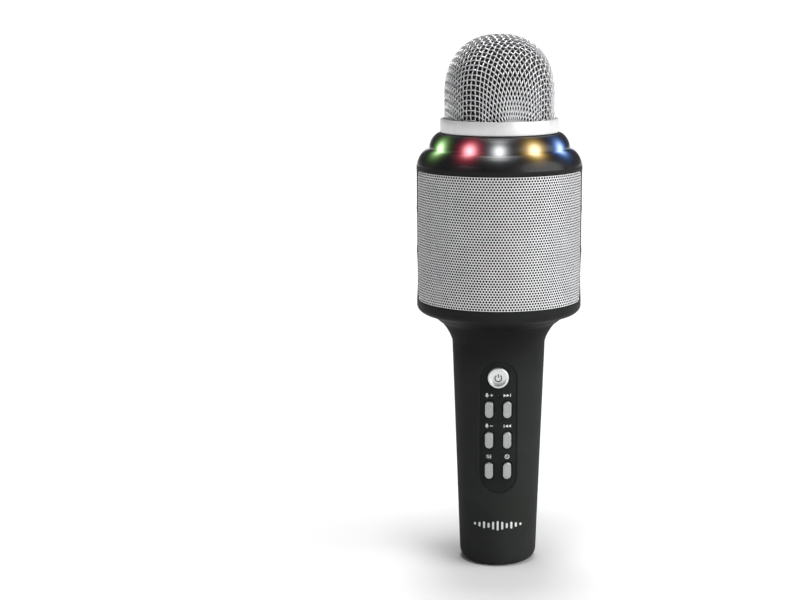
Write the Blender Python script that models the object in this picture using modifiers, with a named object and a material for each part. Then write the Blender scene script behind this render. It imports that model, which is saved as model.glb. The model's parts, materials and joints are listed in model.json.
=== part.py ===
"""A handheld toy karaoke microphone that stands on the flat foot of its handle.

A tapering two-part handle carries a fat speaker barrel. On the barrel sit a gloss shoulder, a clear
tier with a ring of lights, and a wire-mesh head on a threaded metal collar. The front faces -Y,
+Z runs up the microphone, and the origin is the middle of the foot.
"""

import math

import bmesh
import bpy
from mathutils import Vector

MM = 0.001
GAP = 0.3 * MM

# Handle: a cone whose radius grows with height, a flare at the top and a rounded foot.
HANDLE_FOOT_RADIUS = 18.05 * MM
HANDLE_TAPER = 0.0355
HANDLE_WALL = 2.6 * MM
FOOT_ROUNDING = 5.0 * MM
FOOT_FLAT_RADIUS = 13.5 * MM
FOOT_FLOOR = 2.2 * MM
FOOT_HOLE_RADIUS = 12.3 * MM
FOOT_GROOVE_RADIUS = 14.2 * MM
END_CAP_RADIUS = 12.0 * MM
END_CAP_FLANGE_RADIUS = 13.4 * MM
END_CAP_TOP = 4.0 * MM
FLARE_BOTTOM = 106.6 * MM
FLARE_RADIUS = 27.85 * MM
FLARE_POWER = 1.53
GRIP_BOTTOM = 8.0 * MM
GRIP_TOP = 125.0 * MM

# Barrel: a cylinder with a rounded underside and a wrapped window for the grille.
BARREL_RADIUS = 38.5 * MM
BARREL_WALL = 2.2 * MM
BARREL_BOTTOM = 116.8 * MM
BARREL_TOP = 190.05 * MM
BARREL_HOLE_RADIUS = 26.5 * MM
BARREL_FLOOR = 2.8 * MM
UNDERSIDE_INNER_RADIUS = 28.9 * MM
UNDERSIDE_SLOPE = ((31.2 * MM, 2.6 * MM), (34.6 * MM, 3.6 * MM))
RIM_ROUNDING = (6.1 * MM, 4.0 * MM)
RIM_TOP = 124.2 * MM
GRILLE_BOTTOM = 127.4 * MM
GRILLE_TOP = 187.8 * MM
GRILLE_HALF_ANGLE = math.radians(77.5)
GRILLE_CORNER = 3.0 * MM
GRILLE_RECESS = 0.15 * MM
GRILLE_THICKNESS = 1.0 * MM
LEDGE_WIDTH = 1.5 * MM

# Shoulder and light tier.
SHOULDER_TOP = 197.7 * MM
SHOULDER_CREST = 188.7 * MM
SHOULDER_TOP_RADIUS = 32.15 * MM
LENS_TOP = 204.75 * MM
LENS_CREST = 198.5 * MM
LENS_BOTTOM = 198.0 * MM
LENS_RADIUS = 32.8 * MM
LENS_TOP_RADIUS = 28.15 * MM
LENS_WALL = 1.6 * MM
LIGHT_RADIUS = 28.2 * MM
LIGHT_ANGLES = (-55, -24, 0, 29, 57, 88, 118, 148, 180, 212, 242, 273)

# Head: collar, thread, mesh and foam.
COLLAR_RADIUS = 27.4 * MM
COLLAR_BOTTOM = 205.15 * MM
COLLAR_TOP = 211.5 * MM
NECK_RADIUS = 20.7 * MM
NECK_BORE = 18.5 * MM
NECK_TOP = 208.0 * MM
THREAD_PITCH = 2.5 * MM
THREAD_RIB = 0.5 * MM
MESH_RADIUS = 25.8 * MM
MESH_THICKNESS = 1.6 * MM
MESH_TOP = 250.3 * MM
MESH_SPRING_LINE = 222.0 * MM
MESH_POWER = 2.3
FOAM_THICKNESS = 3.3 * MM

# Control panel, its seven buttons and the boards behind it.
PANEL_HALF_WIDTH = 8.2 * MM
PANEL_BOTTOM = 37.1 * MM
PANEL_TOP = 100.2 * MM
PANEL_RECESS = 0.5 * MM
PANEL_THICKNESS = 1.1 * MM
POWER_HEIGHT = 92.9 * MM
POWER_RADIUS = 4.9 * MM
POWER_TRAVEL = 0.8 * MM
PILL_COLUMN = 4.25 * MM
PILL_HEIGHTS = (77.6 * MM, 62.8 * MM, 47.9 * MM)
PILL_HALF_WIDTH = 1.95 * MM
PILL_HALF_LENGTH = 4.1 * MM
PILL_TRAVEL = 0.6 * MM
PILL_NAMES = (
    ("mic_up_button", "mic_down_button", "mode_button"),
    ("next_button", "previous_button", "voice_off_button"),
)
BUTTON_PROUD = 0.3 * MM
POWER_PROUD = 0.5 * MM
POWER_DISH_RADIUS = 3.7 * MM
BUTTON_FLANGE = 0.5 * MM
BUTTON_FLANGE_DEPTH = 0.9 * MM
STATUS_HEIGHT = 84.3 * MM
STATUS_RADIUS = 0.75 * MM
BUTTON_BOARD_Y = -12.0 * MM
BUTTON_BOARD_HALF_WIDTH = 8.0 * MM
BUTTON_BOARD_HEIGHTS = (31.0 * MM, 106.0 * MM)
MAIN_BOARD_Y = -7.2 * MM
BOARD_THICKNESS = 1.2 * MM
SWITCH_SIDE = 4.6 * MM
SWITCH_HEIGHT = 1.6 * MM
PLUNGER_HEIGHT = 0.4 * MM

# Speaker, battery and case screws.
SPEAKER_HEIGHT = 157.6 * MM
BAFFLE_FRONT = -14.0 * MM
BAFFLE_THICKNESS = 2.0 * MM
BATTERY_RADIUS = 9.15 * MM
BATTERY_LENGTH = 65.0 * MM
BATTERY_BOTTOM = 22.5 * MM
BATTERY_Y = 4.8 * MM
SCREW_PLACES = ((-8.5, 14.0), (8.5, 14.0), (-9.5, 111.0), (9.5, 111.0))
SCREW_HEAD_RADIUS = 2.3 * MM
SCREW_SHANK_RADIUS = 1.2 * MM
SCREW_SEAT = 9.4 * MM
SCREW_LENGTH = 14.0 * MM

# How finely the round parts are divided.
BARREL_STEPS = 40
HANDLE_STEPS = 32
SMALL_STEPS = 16


# ---------------------------------------------------------------- tools


def clear_scene():
    for obj in list(bpy.data.objects):
        bpy.data.objects.remove(obj, do_unlink=True)


def new_collection(name):
    made = bpy.data.collections.new(name)
    bpy.context.scene.collection.children.link(made)
    return made


def material(name, colour, roughness, metallic=0.0):
    made = bpy.data.materials.new(name)
    made.use_nodes = True
    shader = made.node_tree.nodes["Principled BSDF"]
    shader.inputs["Base Color"].default_value = (*colour, 1.0)
    shader.inputs["Roughness"].default_value = roughness
    shader.inputs["Metallic"].default_value = metallic
    return made


def place(obj, collection):
    for home in list(obj.users_collection):
        home.objects.unlink(obj)
    collection.objects.link(obj)


def as_part(obj, finish):
    """Puts an object among the parts, with its material and smooth round sides."""
    place(obj, PARTS)
    obj.data.materials.clear()
    obj.data.materials.append(finish)
    obj.data.shade_smooth()
    obj.data.set_sharp_from_angle(angle=math.radians(35))
    return obj


def as_cutter(obj):
    """Puts an object among the helpers, which only cut or join the parts."""
    place(obj, CUTTERS)
    obj.hide_render = True
    obj.display_type = "WIRE"
    return obj


def turned(name, profile, steps, closed):
    """Turns (radius, height) points about Z. A closed profile is a ring's section."""
    mesh = bpy.data.meshes.new(name)
    points = [(radius, 0.0, height) for radius, height in profile]
    edges = [(i, i + 1) for i in range(len(points) - 1)]
    if closed:
        edges.append((len(points) - 1, 0))
    mesh.from_pydata(points, edges, [])
    obj = bpy.data.objects.new(name, mesh)
    PARTS.objects.link(obj)
    screw = obj.modifiers.new("turn", "SCREW")
    screw.steps = steps
    screw.render_steps = steps
    screw.use_merge_vertices = True
    screw.merge_threshold = 0.00001
    screw.use_normal_calculate = False
    return obj


def boolean(obj, other, operation="DIFFERENCE"):
    modifier = obj.modifiers.new(operation.lower(), "BOOLEAN")
    modifier.operation = operation
    modifier.solver = "EXACT"
    modifier.object = other
    return obj


def box(name, low, high):
    """A box between two corners."""
    bpy.ops.mesh.primitive_cube_add(size=1.0)
    obj = bpy.context.active_object
    obj.name = name
    low, high = Vector(low), Vector(high)
    for vertex in obj.data.vertices:
        vertex.co = Vector(vertex.co[i] * (high[i] - low[i]) for i in range(3))
    obj.location = (low + high) / 2
    return obj


def rod(name, radius, start, end, steps=SMALL_STEPS):
    """A cylinder from one point to another."""
    start, end = Vector(start), Vector(end)
    axis = end - start
    bpy.ops.mesh.primitive_cylinder_add(radius=radius, depth=axis.length, vertices=steps)
    obj = bpy.context.active_object
    obj.name = name
    obj.rotation_euler = axis.to_track_quat("Z", "Y").to_euler()
    obj.location = (start + end) / 2
    return obj


def joined(name, pieces):
    """One mesh object made of several that don't touch, used as a cutter."""
    bm = bmesh.new()
    bpy.context.view_layer.update()
    for piece in pieces:
        before = len(bm.verts)
        bm.from_mesh(piece.data)
        bm.verts.ensure_lookup_table()
        bmesh.ops.transform(bm, matrix=piece.matrix_world, verts=bm.verts[before:])
    mesh = bpy.data.meshes.new(name)
    bm.to_mesh(mesh)
    bm.free()
    for piece in pieces:
        bpy.data.objects.remove(piece, do_unlink=True)
    return bpy.data.objects.new(name, mesh)


def curve_to_mesh(curve_object):
    """Makes a filled curve a closed mesh, so that it can be cut."""
    place(curve_object, CUTTERS)
    bpy.context.view_layer.update()
    graph = bpy.context.evaluated_depsgraph_get()
    mesh = bpy.data.meshes.new_from_object(curve_object.evaluated_get(graph))
    bm = bmesh.new()
    bm.from_mesh(mesh)
    bmesh.ops.remove_doubles(bm, verts=bm.verts, dist=0.000005)
    bm.to_mesh(mesh)
    bm.free()
    name, place_of = curve_object.name, curve_object.matrix_world.copy()
    bpy.data.objects.remove(curve_object, do_unlink=True)
    made = bpy.data.objects.new(name, mesh)
    made.matrix_world = place_of
    return made


def extruded(name, outline, front, back):
    """A flat outline of (x, z) points that runs along Y from front to back."""
    curve = bpy.data.curves.new(name, "CURVE")
    curve.dimensions = "2D"
    curve.fill_mode = "BOTH"
    curve.extrude = (back - front) / 2
    spline = curve.splines.new("POLY")
    spline.points.add(len(outline) - 1)
    for point, (x, z) in zip(spline.points, outline):
        point.co = (x, z, 0.0, 1.0)
    spline.use_cyclic_u = True
    obj = bpy.data.objects.new(name, curve)
    obj.rotation_euler = (math.radians(90), 0.0, 0.0)
    obj.location = (0.0, (front + back) / 2, 0.0)
    return curve_to_mesh(obj)


def wire(name, points, radius, sides_resolution=1):
    """A round tube through the given points."""
    curve = bpy.data.curves.new(name, "CURVE")
    curve.dimensions = "3D"
    curve.fill_mode = "FULL"
    curve.bevel_depth = radius
    curve.bevel_resolution = sides_resolution
    curve.use_fill_caps = True
    spline = curve.splines.new("POLY")
    spline.points.add(len(points) - 1)
    for point, place_of in zip(spline.points, points):
        point.co = (*place_of, 1.0)
    return bpy.data.objects.new(name, curve)


def smooth_route(anchors, pieces):
    """Points of a smooth curve through the anchors (Catmull-Rom)."""
    anchors = [Vector(anchor) * MM for anchor in anchors]
    ends = [2 * anchors[0] - anchors[1]] + anchors + [2 * anchors[-1] - anchors[-2]]
    route = []
    for a, b, c, d in zip(ends, ends[1:], ends[2:], ends[3:]):
        for step in range(pieces):
            t = step / pieces
            bend = (2 * a - 5 * b + 4 * c - d) * t * t + (3 * b - a - 3 * c + d) * t**3
            route.append((2 * b + (c - a) * t + bend) / 2)
    route.append(anchors[-1])
    return route


def arc_points(centre, radii, start, end, count, power=1.0):
    """Points on a quarter of a rounded curve. A power above 1 flattens it."""
    points = []
    for i in range(count):
        angle = math.radians(start + (end - start) * i / (count - 1))
        across = abs(math.cos(angle)) ** power
        up = abs(math.sin(angle)) ** power
        across = math.copysign(across, math.cos(angle))
        up = math.copysign(up, math.sin(angle))
        points.append((centre[0] + radii[0] * across, centre[1] + radii[1] * up))
    return points


def stadium(centre, half_width, half_length, steps=6):
    """The outline of an upright slot with round ends."""
    straight = half_length - half_width
    outline = []
    for side, first in ((1, 0), (-1, 180)):
        for i in range(steps + 1):
            angle = math.radians(first + 180 * i / steps)
            x = centre[0] + half_width * math.cos(angle)
            z = centre[1] + side * straight + half_width * math.sin(angle)
            outline.append((x, z))
    return outline


def circle(centre, radius, steps=SMALL_STEPS):
    turns = [2 * math.pi * i / steps for i in range(steps)]
    return [(centre[0] + radius * math.cos(t), centre[1] + radius * math.sin(t)) for t in turns]


# ---------------------------------------------------------------- shared shapes


def handle_radius(height):
    return HANDLE_FOOT_RADIUS + HANDLE_TAPER * height


def handle_outline(flare_points=6):
    """The handle's outer side from the flare down to the rounded foot."""
    low_radius = handle_radius(FLARE_BOTTOM)
    flare_top = BARREL_BOTTOM - GAP
    outline = []
    for i in range(flare_points):
        angle = math.radians(90 - 90 * i / (flare_points - 1))
        inward = (FLARE_RADIUS - low_radius) * math.cos(angle) ** FLARE_POWER
        upward = (flare_top - FLARE_BOTTOM) * math.sin(angle) ** FLARE_POWER
        outline.append((FLARE_RADIUS - inward, FLARE_BOTTOM + upward))
    side = handle_radius(FOOT_ROUNDING)
    radii = (side - FOOT_FLAT_RADIUS, FOOT_ROUNDING)
    outline += arc_points((FOOT_FLAT_RADIUS, FOOT_ROUNDING), radii, 0, -90, 5)
    return outline


def grip_solid(name, offset):
    """A solid cone that follows the handle's side at a distance from it."""
    bpy.ops.mesh.primitive_cone_add(
        vertices=HANDLE_STEPS,
        radius1=handle_radius(GRIP_BOTTOM) + offset,
        radius2=handle_radius(GRIP_TOP) + offset,
        depth=GRIP_TOP - GRIP_BOTTOM,
        location=(0.0, 0.0, (GRIP_TOP + GRIP_BOTTOM) / 2),
    )
    obj = bpy.context.active_object
    obj.name = name
    return as_cutter(obj)


def wrapped_panel(name, radii, half_angle, bottom, top, corner, columns=26):
    """A plate that wraps round the barrel's front, with rounded corners."""
    middle = sum(radii) / 2
    corner_angle = corner / middle
    bends = [-half_angle + corner_angle * (1 - math.cos(math.radians(a))) for a in (0, 30, 60)]
    flat = columns - 2 * len(bends)
    flat_angle = half_angle - corner_angle
    angles = bends + [-flat_angle + 2 * flat_angle * i / flat for i in range(flat + 1)]
    angles += [-angle for angle in reversed(bends)]
    bm = bmesh.new()
    rings = []
    for angle in angles:
        into_corner = max(0.0, (abs(angle) - flat_angle) / corner_angle)
        inset = corner * (1 - math.sqrt(max(0.0, 1 - into_corner**2)))
        ring = []
        for radius, height in (
            (radii[0], bottom + inset),
            (radii[1], bottom + inset),
            (radii[1], top - inset),
            (radii[0], top - inset),
        ):
            x, y = radius * math.sin(angle), -radius * math.cos(angle)
            ring.append(bm.verts.new((x, y, height)))
        rings.append(ring)
    for ring, following in zip(rings, rings[1:]):
        for i in range(4):
            j = (i + 1) % 4
            bm.faces.new((ring[i], ring[j], following[j], following[i]))
    bm.faces.new(rings[0])
    bm.faces.new(rings[-1])
    bmesh.ops.recalc_face_normals(bm, faces=bm.faces)
    mesh = bpy.data.meshes.new(name)
    bm.to_mesh(mesh)
    bm.free()
    return bpy.data.objects.new(name, mesh)


def helix(name, radius, tube, low, turns, steps_per_turn=30):
    """A helical rod about Z, made a mesh so that it can join or cut."""
    count = round(turns * steps_per_turn)
    points = []
    for i in range(count + 1):
        angle = 2 * math.pi * i / steps_per_turn
        height = low + THREAD_PITCH * i / steps_per_turn
        points.append((radius * math.cos(angle), radius * math.sin(angle), height))
    return as_cutter(curve_to_mesh(wire(name, points, tube)))


# ---------------------------------------------------------------- handle


def handle_shell(name):
    """The whole handle as a hollow turned shape, before it is split into halves."""
    spigot = BARREL_HOLE_RADIUS - GAP
    lip = BARREL_HOLE_RADIUS + 1.9 * MM
    lip_bottom = BARREL_BOTTOM + BARREL_FLOOR + GAP
    lip_top = lip_bottom + 1.6 * MM
    outer = handle_outline()
    bore = spigot - HANDLE_WALL
    inner = [(min(radius - HANDLE_WALL, bore), height) for radius, height in outer[1:6]]
    low_inside = FOOT_FLOOR + 2.6 * MM
    profile = [(lip, lip_top), (lip, lip_bottom), (spigot, lip_bottom)]
    profile += [(spigot, BARREL_BOTTOM - GAP)] + outer
    profile += [(FOOT_HOLE_RADIUS, 0.0), (FOOT_HOLE_RADIUS, FOOT_FLOOR)]
    profile += [(FOOT_GROOVE_RADIUS, FOOT_FLOOR)]
    profile += [(handle_radius(low_inside) - HANDLE_WALL, low_inside)]
    profile += list(reversed(inner)) + [(bore, lip_top)]
    return turned(name, profile, HANDLE_STEPS, closed=True)


def boss_cluster(name, radius, start, end, places, core):
    """Posts along Y that end inside the handle's wall."""
    posts = [rod("post", radius, (x * MM, start, z * MM), (x * MM, end, z * MM)) for x, z in places]
    return boolean(as_cutter(joined(name, posts)), core, "INTERSECT")


def hole_cluster(name, radius, start, end):
    """Holes along Y at the four screws."""
    holes = []
    for x, z in SCREW_PLACES:
        holes.append(rod("hole", radius, (x * MM, start, z * MM), (x * MM, end, z * MM)))
    return as_cutter(joined(name, holes))


def panel_slot(name, half_width, front, back):
    """An upright slot along Y at the control panel, made a cutter or a blank."""
    centre = (0.0, (PANEL_TOP + PANEL_BOTTOM) / 2)
    trim = PANEL_HALF_WIDTH - half_width
    half_length = (PANEL_TOP - PANEL_BOTTOM) / 2 - trim
    return extruded(name, stadium(centre, half_width, half_length), front, back)


def make_handle(shell_plastic):
    reach, above = 45.0 * MM, 130.0 * MM
    half = GAP / 2
    core = grip_solid("handle_core", -1.0 * MM)
    front_half = as_cutter(box("front_half", (-reach, -reach, -MM), (reach, -half, above)))
    rear_half = as_cutter(box("rear_half", (-reach, half, -MM), (reach, reach, above)))
    shank_hole = SCREW_SHANK_RADIUS + 0.25 * MM

    front = handle_shell("handle_front")
    boolean(front, front_half, "INTERSECT")
    posts = ((0.0, 33.6), (0.0, 103.8))
    board_front = BUTTON_BOARD_Y - GAP
    boolean(front, boss_cluster("front_bosses", 2.8 * MM, -GAP, -reach, SCREW_PLACES, core), "UNION")
    boolean(front, boss_cluster("board_posts", 1.6 * MM, board_front, -reach, posts, core), "UNION")
    boolean(front, hole_cluster("pilot_holes", shank_hole, MM, -7.0 * MM))
    rebate_floor = grip_solid("rebate_floor", -(PANEL_RECESS + PANEL_THICKNESS + GAP))
    rebate = as_cutter(panel_slot("panel_rebate", PANEL_HALF_WIDTH + GAP, -reach, -10.0 * MM))
    boolean(rebate, rebate_floor)
    boolean(front, rebate)
    boolean(front, as_cutter(panel_slot("panel_window", 7.0 * MM, -reach, -12.5 * MM)))
    as_part(front, shell_plastic)

    rear = handle_shell("handle_rear")
    boolean(rear, rear_half, "INTERSECT")
    boolean(rear, boss_cluster("rear_bosses", 3.6 * MM, GAP, reach, SCREW_PLACES, core), "UNION")
    boolean(rear, hole_cluster("screw_holes", shank_hole, -MM, SCREW_SEAT + MM))
    head_hole = SCREW_HEAD_RADIUS + GAP
    boolean(rear, hole_cluster("head_recesses", head_hole, SCREW_SEAT, reach))
    as_part(rear, shell_plastic)


def make_end_cap(plastic):
    """The foot's plug, held in a groove between the halves, with the charging port's hole."""
    flange_bottom = FOOT_FLOOR + GAP
    profile = [(0.0, END_CAP_TOP), (END_CAP_FLANGE_RADIUS, END_CAP_TOP)]
    profile += [(END_CAP_FLANGE_RADIUS, flange_bottom), (END_CAP_RADIUS, flange_bottom)]
    profile += [(END_CAP_RADIUS, 0.0), (0.0, 0.0)]
    cap = turned("end_cap", profile, 24, closed=False)
    port = box("port_hole", (-4.1 * MM, -6.1 * MM, -MM), (4.1 * MM, -2.7 * MM, 5.0 * MM))
    boolean(cap, as_cutter(port))
    as_part(cap, plastic)


def make_screws(steel):
    slot = 0.35 * MM
    for number, (x, z) in enumerate(SCREW_PLACES, start=1):
        seat = SCREW_SEAT + GAP
        x, z = x * MM, z * MM
        top = seat + 1.6 * MM
        screw = rod(f"case_screw_{number}", SCREW_HEAD_RADIUS, (x, seat, z), (x, top, z))
        shank_top = seat + 0.5 * MM
        tip = seat - SCREW_LENGTH
        shank = rod("shank", SCREW_SHANK_RADIUS, (x, tip, z), (x, shank_top, z), 8)
        boolean(screw, as_cutter(shank), "UNION")
        for wide, tall in ((1.3 * MM, slot), (slot, 1.3 * MM)):
            low = (x - wide, top - 0.8 * MM, z - tall)
            high = (x + wide, top + MM, z + tall)
            boolean(screw, as_cutter(box("cross_slot", low, high)))
        as_part(screw, steel)


# ---------------------------------------------------------------- control panel


def button_hole(cutters, x, z):
    if x == 0.0:
        outline = circle((x, z), POWER_RADIUS + GAP)
    else:
        outline = stadium((x, z), PILL_HALF_WIDTH + GAP, PILL_HALF_LENGTH + GAP)
    cutters.append(extruded("button_hole", outline, -30 * MM, -12 * MM))


def button_places():
    """Name, x, height, travel of each button."""
    places = [("power_button", 0.0, POWER_HEIGHT, POWER_TRAVEL)]
    for side, names in zip((-1, 1), PILL_NAMES):
        for name, height in zip(names, PILL_HEIGHTS):
            places.append((name, side * PILL_COLUMN, height, PILL_TRAVEL))
    return places


def make_panel(plastic):
    panel = panel_slot("button_panel", PANEL_HALF_WIDTH, -30 * MM, -10 * MM)
    low_radius, high_radius = handle_radius(GRIP_BOTTOM), handle_radius(GRIP_TOP)
    face, back = -PANEL_RECESS, -(PANEL_RECESS + PANEL_THICKNESS)
    section = [(high_radius + face, GRIP_TOP), (low_radius + face, GRIP_BOTTOM)]
    section += [(low_radius + back, GRIP_BOTTOM), (high_radius + back, GRIP_TOP)]
    sleeve = as_cutter(turned("panel_sleeve", section, HANDLE_STEPS, closed=True))
    boolean(panel, sleeve, "INTERSECT")
    cutters = []
    for _, x, height, _ in button_places():
        button_hole(cutters, x, height)
    pinhole = circle((0.0, STATUS_HEIGHT), STATUS_RADIUS + GAP, 16)
    cutters.append(extruded("pinhole", pinhole, -30 * MM, -12 * MM))
    boolean(panel, as_cutter(joined("button_holes", cutters)))
    as_part(panel, plastic)


def button_blank(name, x, height, grow, front, back):
    if x == 0.0:
        outline = circle((x, height), POWER_RADIUS + grow)
    else:
        outline = stadium((x, height), PILL_HALF_WIDTH + grow, PILL_HALF_LENGTH + grow)
    return extruded(name, outline, front, back)


def make_button(name, x, height, travel, faces, plastic):
    """A key cap with a flange behind the panel and a stem towards its switch."""
    reach = -30 * MM
    flange_radius = handle_radius(height) - (PANEL_RECESS + PANEL_THICKNESS + GAP)
    half_width = POWER_RADIUS if x == 0.0 else PILL_HALF_WIDTH
    edge = abs(x) + half_width + BUTTON_FLANGE
    flange_back = BUTTON_FLANGE_DEPTH - math.sqrt(flange_radius**2 - edge**2)
    switch_top = BUTTON_BOARD_Y - GAP - SWITCH_HEIGHT - PLUNGER_HEIGHT
    stem_end = switch_top - GAP - travel
    button = button_blank(name, x, height, 0.0, reach, flange_back - 0.3 * MM)
    boolean(button, faces["round" if x == 0.0 else "pill"], "INTERSECT")
    flange = button_blank("flange", x, height, BUTTON_FLANGE, reach, flange_back)
    boolean(as_cutter(flange), faces["flange"], "INTERSECT")
    boolean(button, flange, "UNION")
    stem = rod("stem", 1.1 * MM, (x, flange_back - 0.4 * MM, height), (x, stem_end, height), 8)
    boolean(button, as_cutter(stem), "UNION")
    if x == 0.0:
        face = -handle_radius(height)
        dish = rod("dish", POWER_DISH_RADIUS, (x, reach, height), (x, face, height))
        boolean(button, as_cutter(dish))
    centre = Vector((x, -handle_radius(height), height))
    button.data.transform(button.matrix_world)
    button.matrix_world.identity()
    for vertex in button.data.vertices:
        vertex.co -= centre
    button.location = centre
    as_part(button, plastic)


def make_buttons(plastic):
    faces = {
        "round": grip_solid("power_face", POWER_PROUD),
        "pill": grip_solid("pill_face", BUTTON_PROUD),
        "flange": grip_solid("flange_face", -(PANEL_RECESS + PANEL_THICKNESS + GAP)),
    }
    for name, x, height, travel in button_places():
        make_button(name, x, height, travel, faces, plastic)


def make_status_light(clear_plastic):
    front = -(handle_radius(STATUS_HEIGHT) - PANEL_RECESS - 0.2 * MM)
    back = BUTTON_BOARD_Y - GAP
    start, end = (0.0, front, STATUS_HEIGHT), (0.0, back, STATUS_HEIGHT)
    as_part(rod("status_light", STATUS_RADIUS, start, end, 12), clear_plastic)


def make_boards(board, steel, black):
    bottom, top = BUTTON_BOARD_HEIGHTS
    low = (-BUTTON_BOARD_HALF_WIDTH, BUTTON_BOARD_Y, bottom)
    high = (BUTTON_BOARD_HALF_WIDTH, BUTTON_BOARD_Y + BOARD_THICKNESS, top)
    as_part(box("button_board", low, high), board)
    wide, tail = 11.0 * MM, 5.0 * MM
    bottom, step, top = 4.5 * MM, 22.0 * MM, 100.0 * MM
    outline = [(-tail, bottom), (tail, bottom), (tail, step), (wide, step)]
    outline += [(wide, top), (-wide, top), (-wide, step), (-tail, step)]
    main = extruded("main_board", outline, MAIN_BOARD_Y, MAIN_BOARD_Y + BOARD_THICKNESS)
    as_part(main, board)
    back = BUTTON_BOARD_Y - GAP
    half = SWITCH_SIDE / 2
    for name, x, z, _ in button_places():
        low = (x - half, back - SWITCH_HEIGHT, z - half)
        high = (x + half, back, z + half)
        switch = box(name.replace("button", "switch"), low, high)
        tip = back - SWITCH_HEIGHT - PLUNGER_HEIGHT
        plunger = rod("plunger", 0.9 * MM, (x, back - MM, z), (x, tip, z), 8)
        boolean(switch, as_cutter(plunger), "UNION")
        as_part(switch, black)
    make_usb_socket(steel)


def make_usb_socket(steel):
    front = MAIN_BOARD_Y + BOARD_THICKNESS + GAP
    half, depth, low, high = 3.75 * MM, 2.6 * MM, 0.5 * MM, 6.1 * MM
    socket = box("usb_socket", (-half, front, low), (half, front + depth, high))
    wall = 0.35 * MM
    mouth_low = (-half + wall, front + wall, low - MM)
    mouth_high = (half - wall, front + depth - wall, high - 0.8 * MM)
    mouth = as_cutter(box("usb_mouth", mouth_low, mouth_high))
    boolean(socket, mouth)
    middle = front + depth / 2
    tongue_low = (-1.9 * MM, middle - 0.3 * MM, 1.4 * MM)
    tongue_high = (1.9 * MM, middle + 0.3 * MM, high - 0.4 * MM)
    boolean(socket, as_cutter(box("usb_tongue", tongue_low, tongue_high)), "UNION")
    as_part(socket, steel)


def make_battery(wrap, black):
    top = BATTERY_BOTTOM + BATTERY_LENGTH
    cell = rod("battery", BATTERY_RADIUS, (0, BATTERY_Y, BATTERY_BOTTOM), (0, BATTERY_Y, top))
    as_part(cell, wrap)
    inside = BATTERY_RADIUS + 0.35 * MM
    outside = inside + 0.9 * MM
    low, high = BATTERY_BOTTOM - 1.5 * MM, top + 1.0 * MM
    cradle = rod("battery_cradle", outside, (0, BATTERY_Y, low), (0, BATTERY_Y, high))
    hollow = rod("cradle_hollow", inside, (0, BATTERY_Y, low - MM), (0, BATTERY_Y, high + MM))
    boolean(cradle, as_cutter(hollow))
    reach = 20 * MM
    cut_low = (-reach, BATTERY_Y - reach, low - MM)
    cut_high = (reach, BATTERY_Y - 1.0 * MM, high + MM)
    boolean(cradle, as_cutter(box("cradle_mouth", cut_low, cut_high)))
    as_part(cradle, black)


# ---------------------------------------------------------------- barrel and speaker


def make_barrel(plastic):
    radius, inside = BARREL_RADIUS, BARREL_RADIUS - BARREL_WALL
    across, up = RIM_ROUNDING
    floor = BARREL_BOTTOM + BARREL_FLOOR
    profile = [(radius, BARREL_TOP)]
    profile += arc_points((radius - across, RIM_TOP), RIM_ROUNDING, 0, -90, 5)
    profile += [(FLARE_RADIUS, BARREL_BOTTOM), (BARREL_HOLE_RADIUS, BARREL_BOTTOM)]
    profile += [(BARREL_HOLE_RADIUS, floor), (UNDERSIDE_INNER_RADIUS, floor)]
    profile += [(slope_radius, floor + rise) for slope_radius, rise in UNDERSIDE_SLOPE]
    profile += [(inside, RIM_TOP + 2.0 * MM), (inside, BARREL_TOP)]
    barrel = turned("barrel_shell", profile, BARREL_STEPS, closed=True)
    spread = GAP / radius
    rebate = wrapped_panel(
        "grille_rebate",
        (radius - 1.55 * MM, radius + 6 * MM),
        GRILLE_HALF_ANGLE + spread,
        GRILLE_BOTTOM - GAP,
        GRILLE_TOP + GAP,
        GRILLE_CORNER,
    )
    boolean(barrel, as_cutter(rebate))
    inset = LEDGE_WIDTH
    window = wrapped_panel(
        "grille_window",
        (radius - 6 * MM, radius + 6 * MM),
        GRILLE_HALF_ANGLE - inset / radius,
        GRILLE_BOTTOM + inset,
        GRILLE_TOP - inset,
        GRILLE_CORNER,
    )
    boolean(barrel, as_cutter(window))
    as_part(barrel, plastic)


def make_grille(metal, cloth):
    outer = BARREL_RADIUS - GRILLE_RECESS
    grille = wrapped_panel(
        "speaker_grille",
        (outer - GRILLE_THICKNESS, outer),
        GRILLE_HALF_ANGLE,
        GRILLE_BOTTOM,
        GRILLE_TOP,
        GRILLE_CORNER,
    )
    as_part(grille, metal)
    inset = LEDGE_WIDTH + GAP
    cloth_outer = outer - GRILLE_THICKNESS - GAP
    backing = wrapped_panel(
        "grille_cloth",
        (cloth_outer - 0.5 * MM, cloth_outer),
        GRILLE_HALF_ANGLE - inset / BARREL_RADIUS,
        GRILLE_BOTTOM + inset,
        GRILLE_TOP - inset,
        GRILLE_CORNER,
    )
    as_part(backing, cloth)


def facing_front(obj):
    """Turns a part made about Z so that its top faces the front, at the speaker's place."""
    obj.rotation_euler = (math.radians(90), 0.0, 0.0)
    obj.location = (0.0, BAFFLE_FRONT + BAFFLE_THICKNESS + GAP, SPEAKER_HEIGHT)
    return obj


def in_mm(points):
    return [(radius * MM, height * MM) for radius, height in points]


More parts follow.
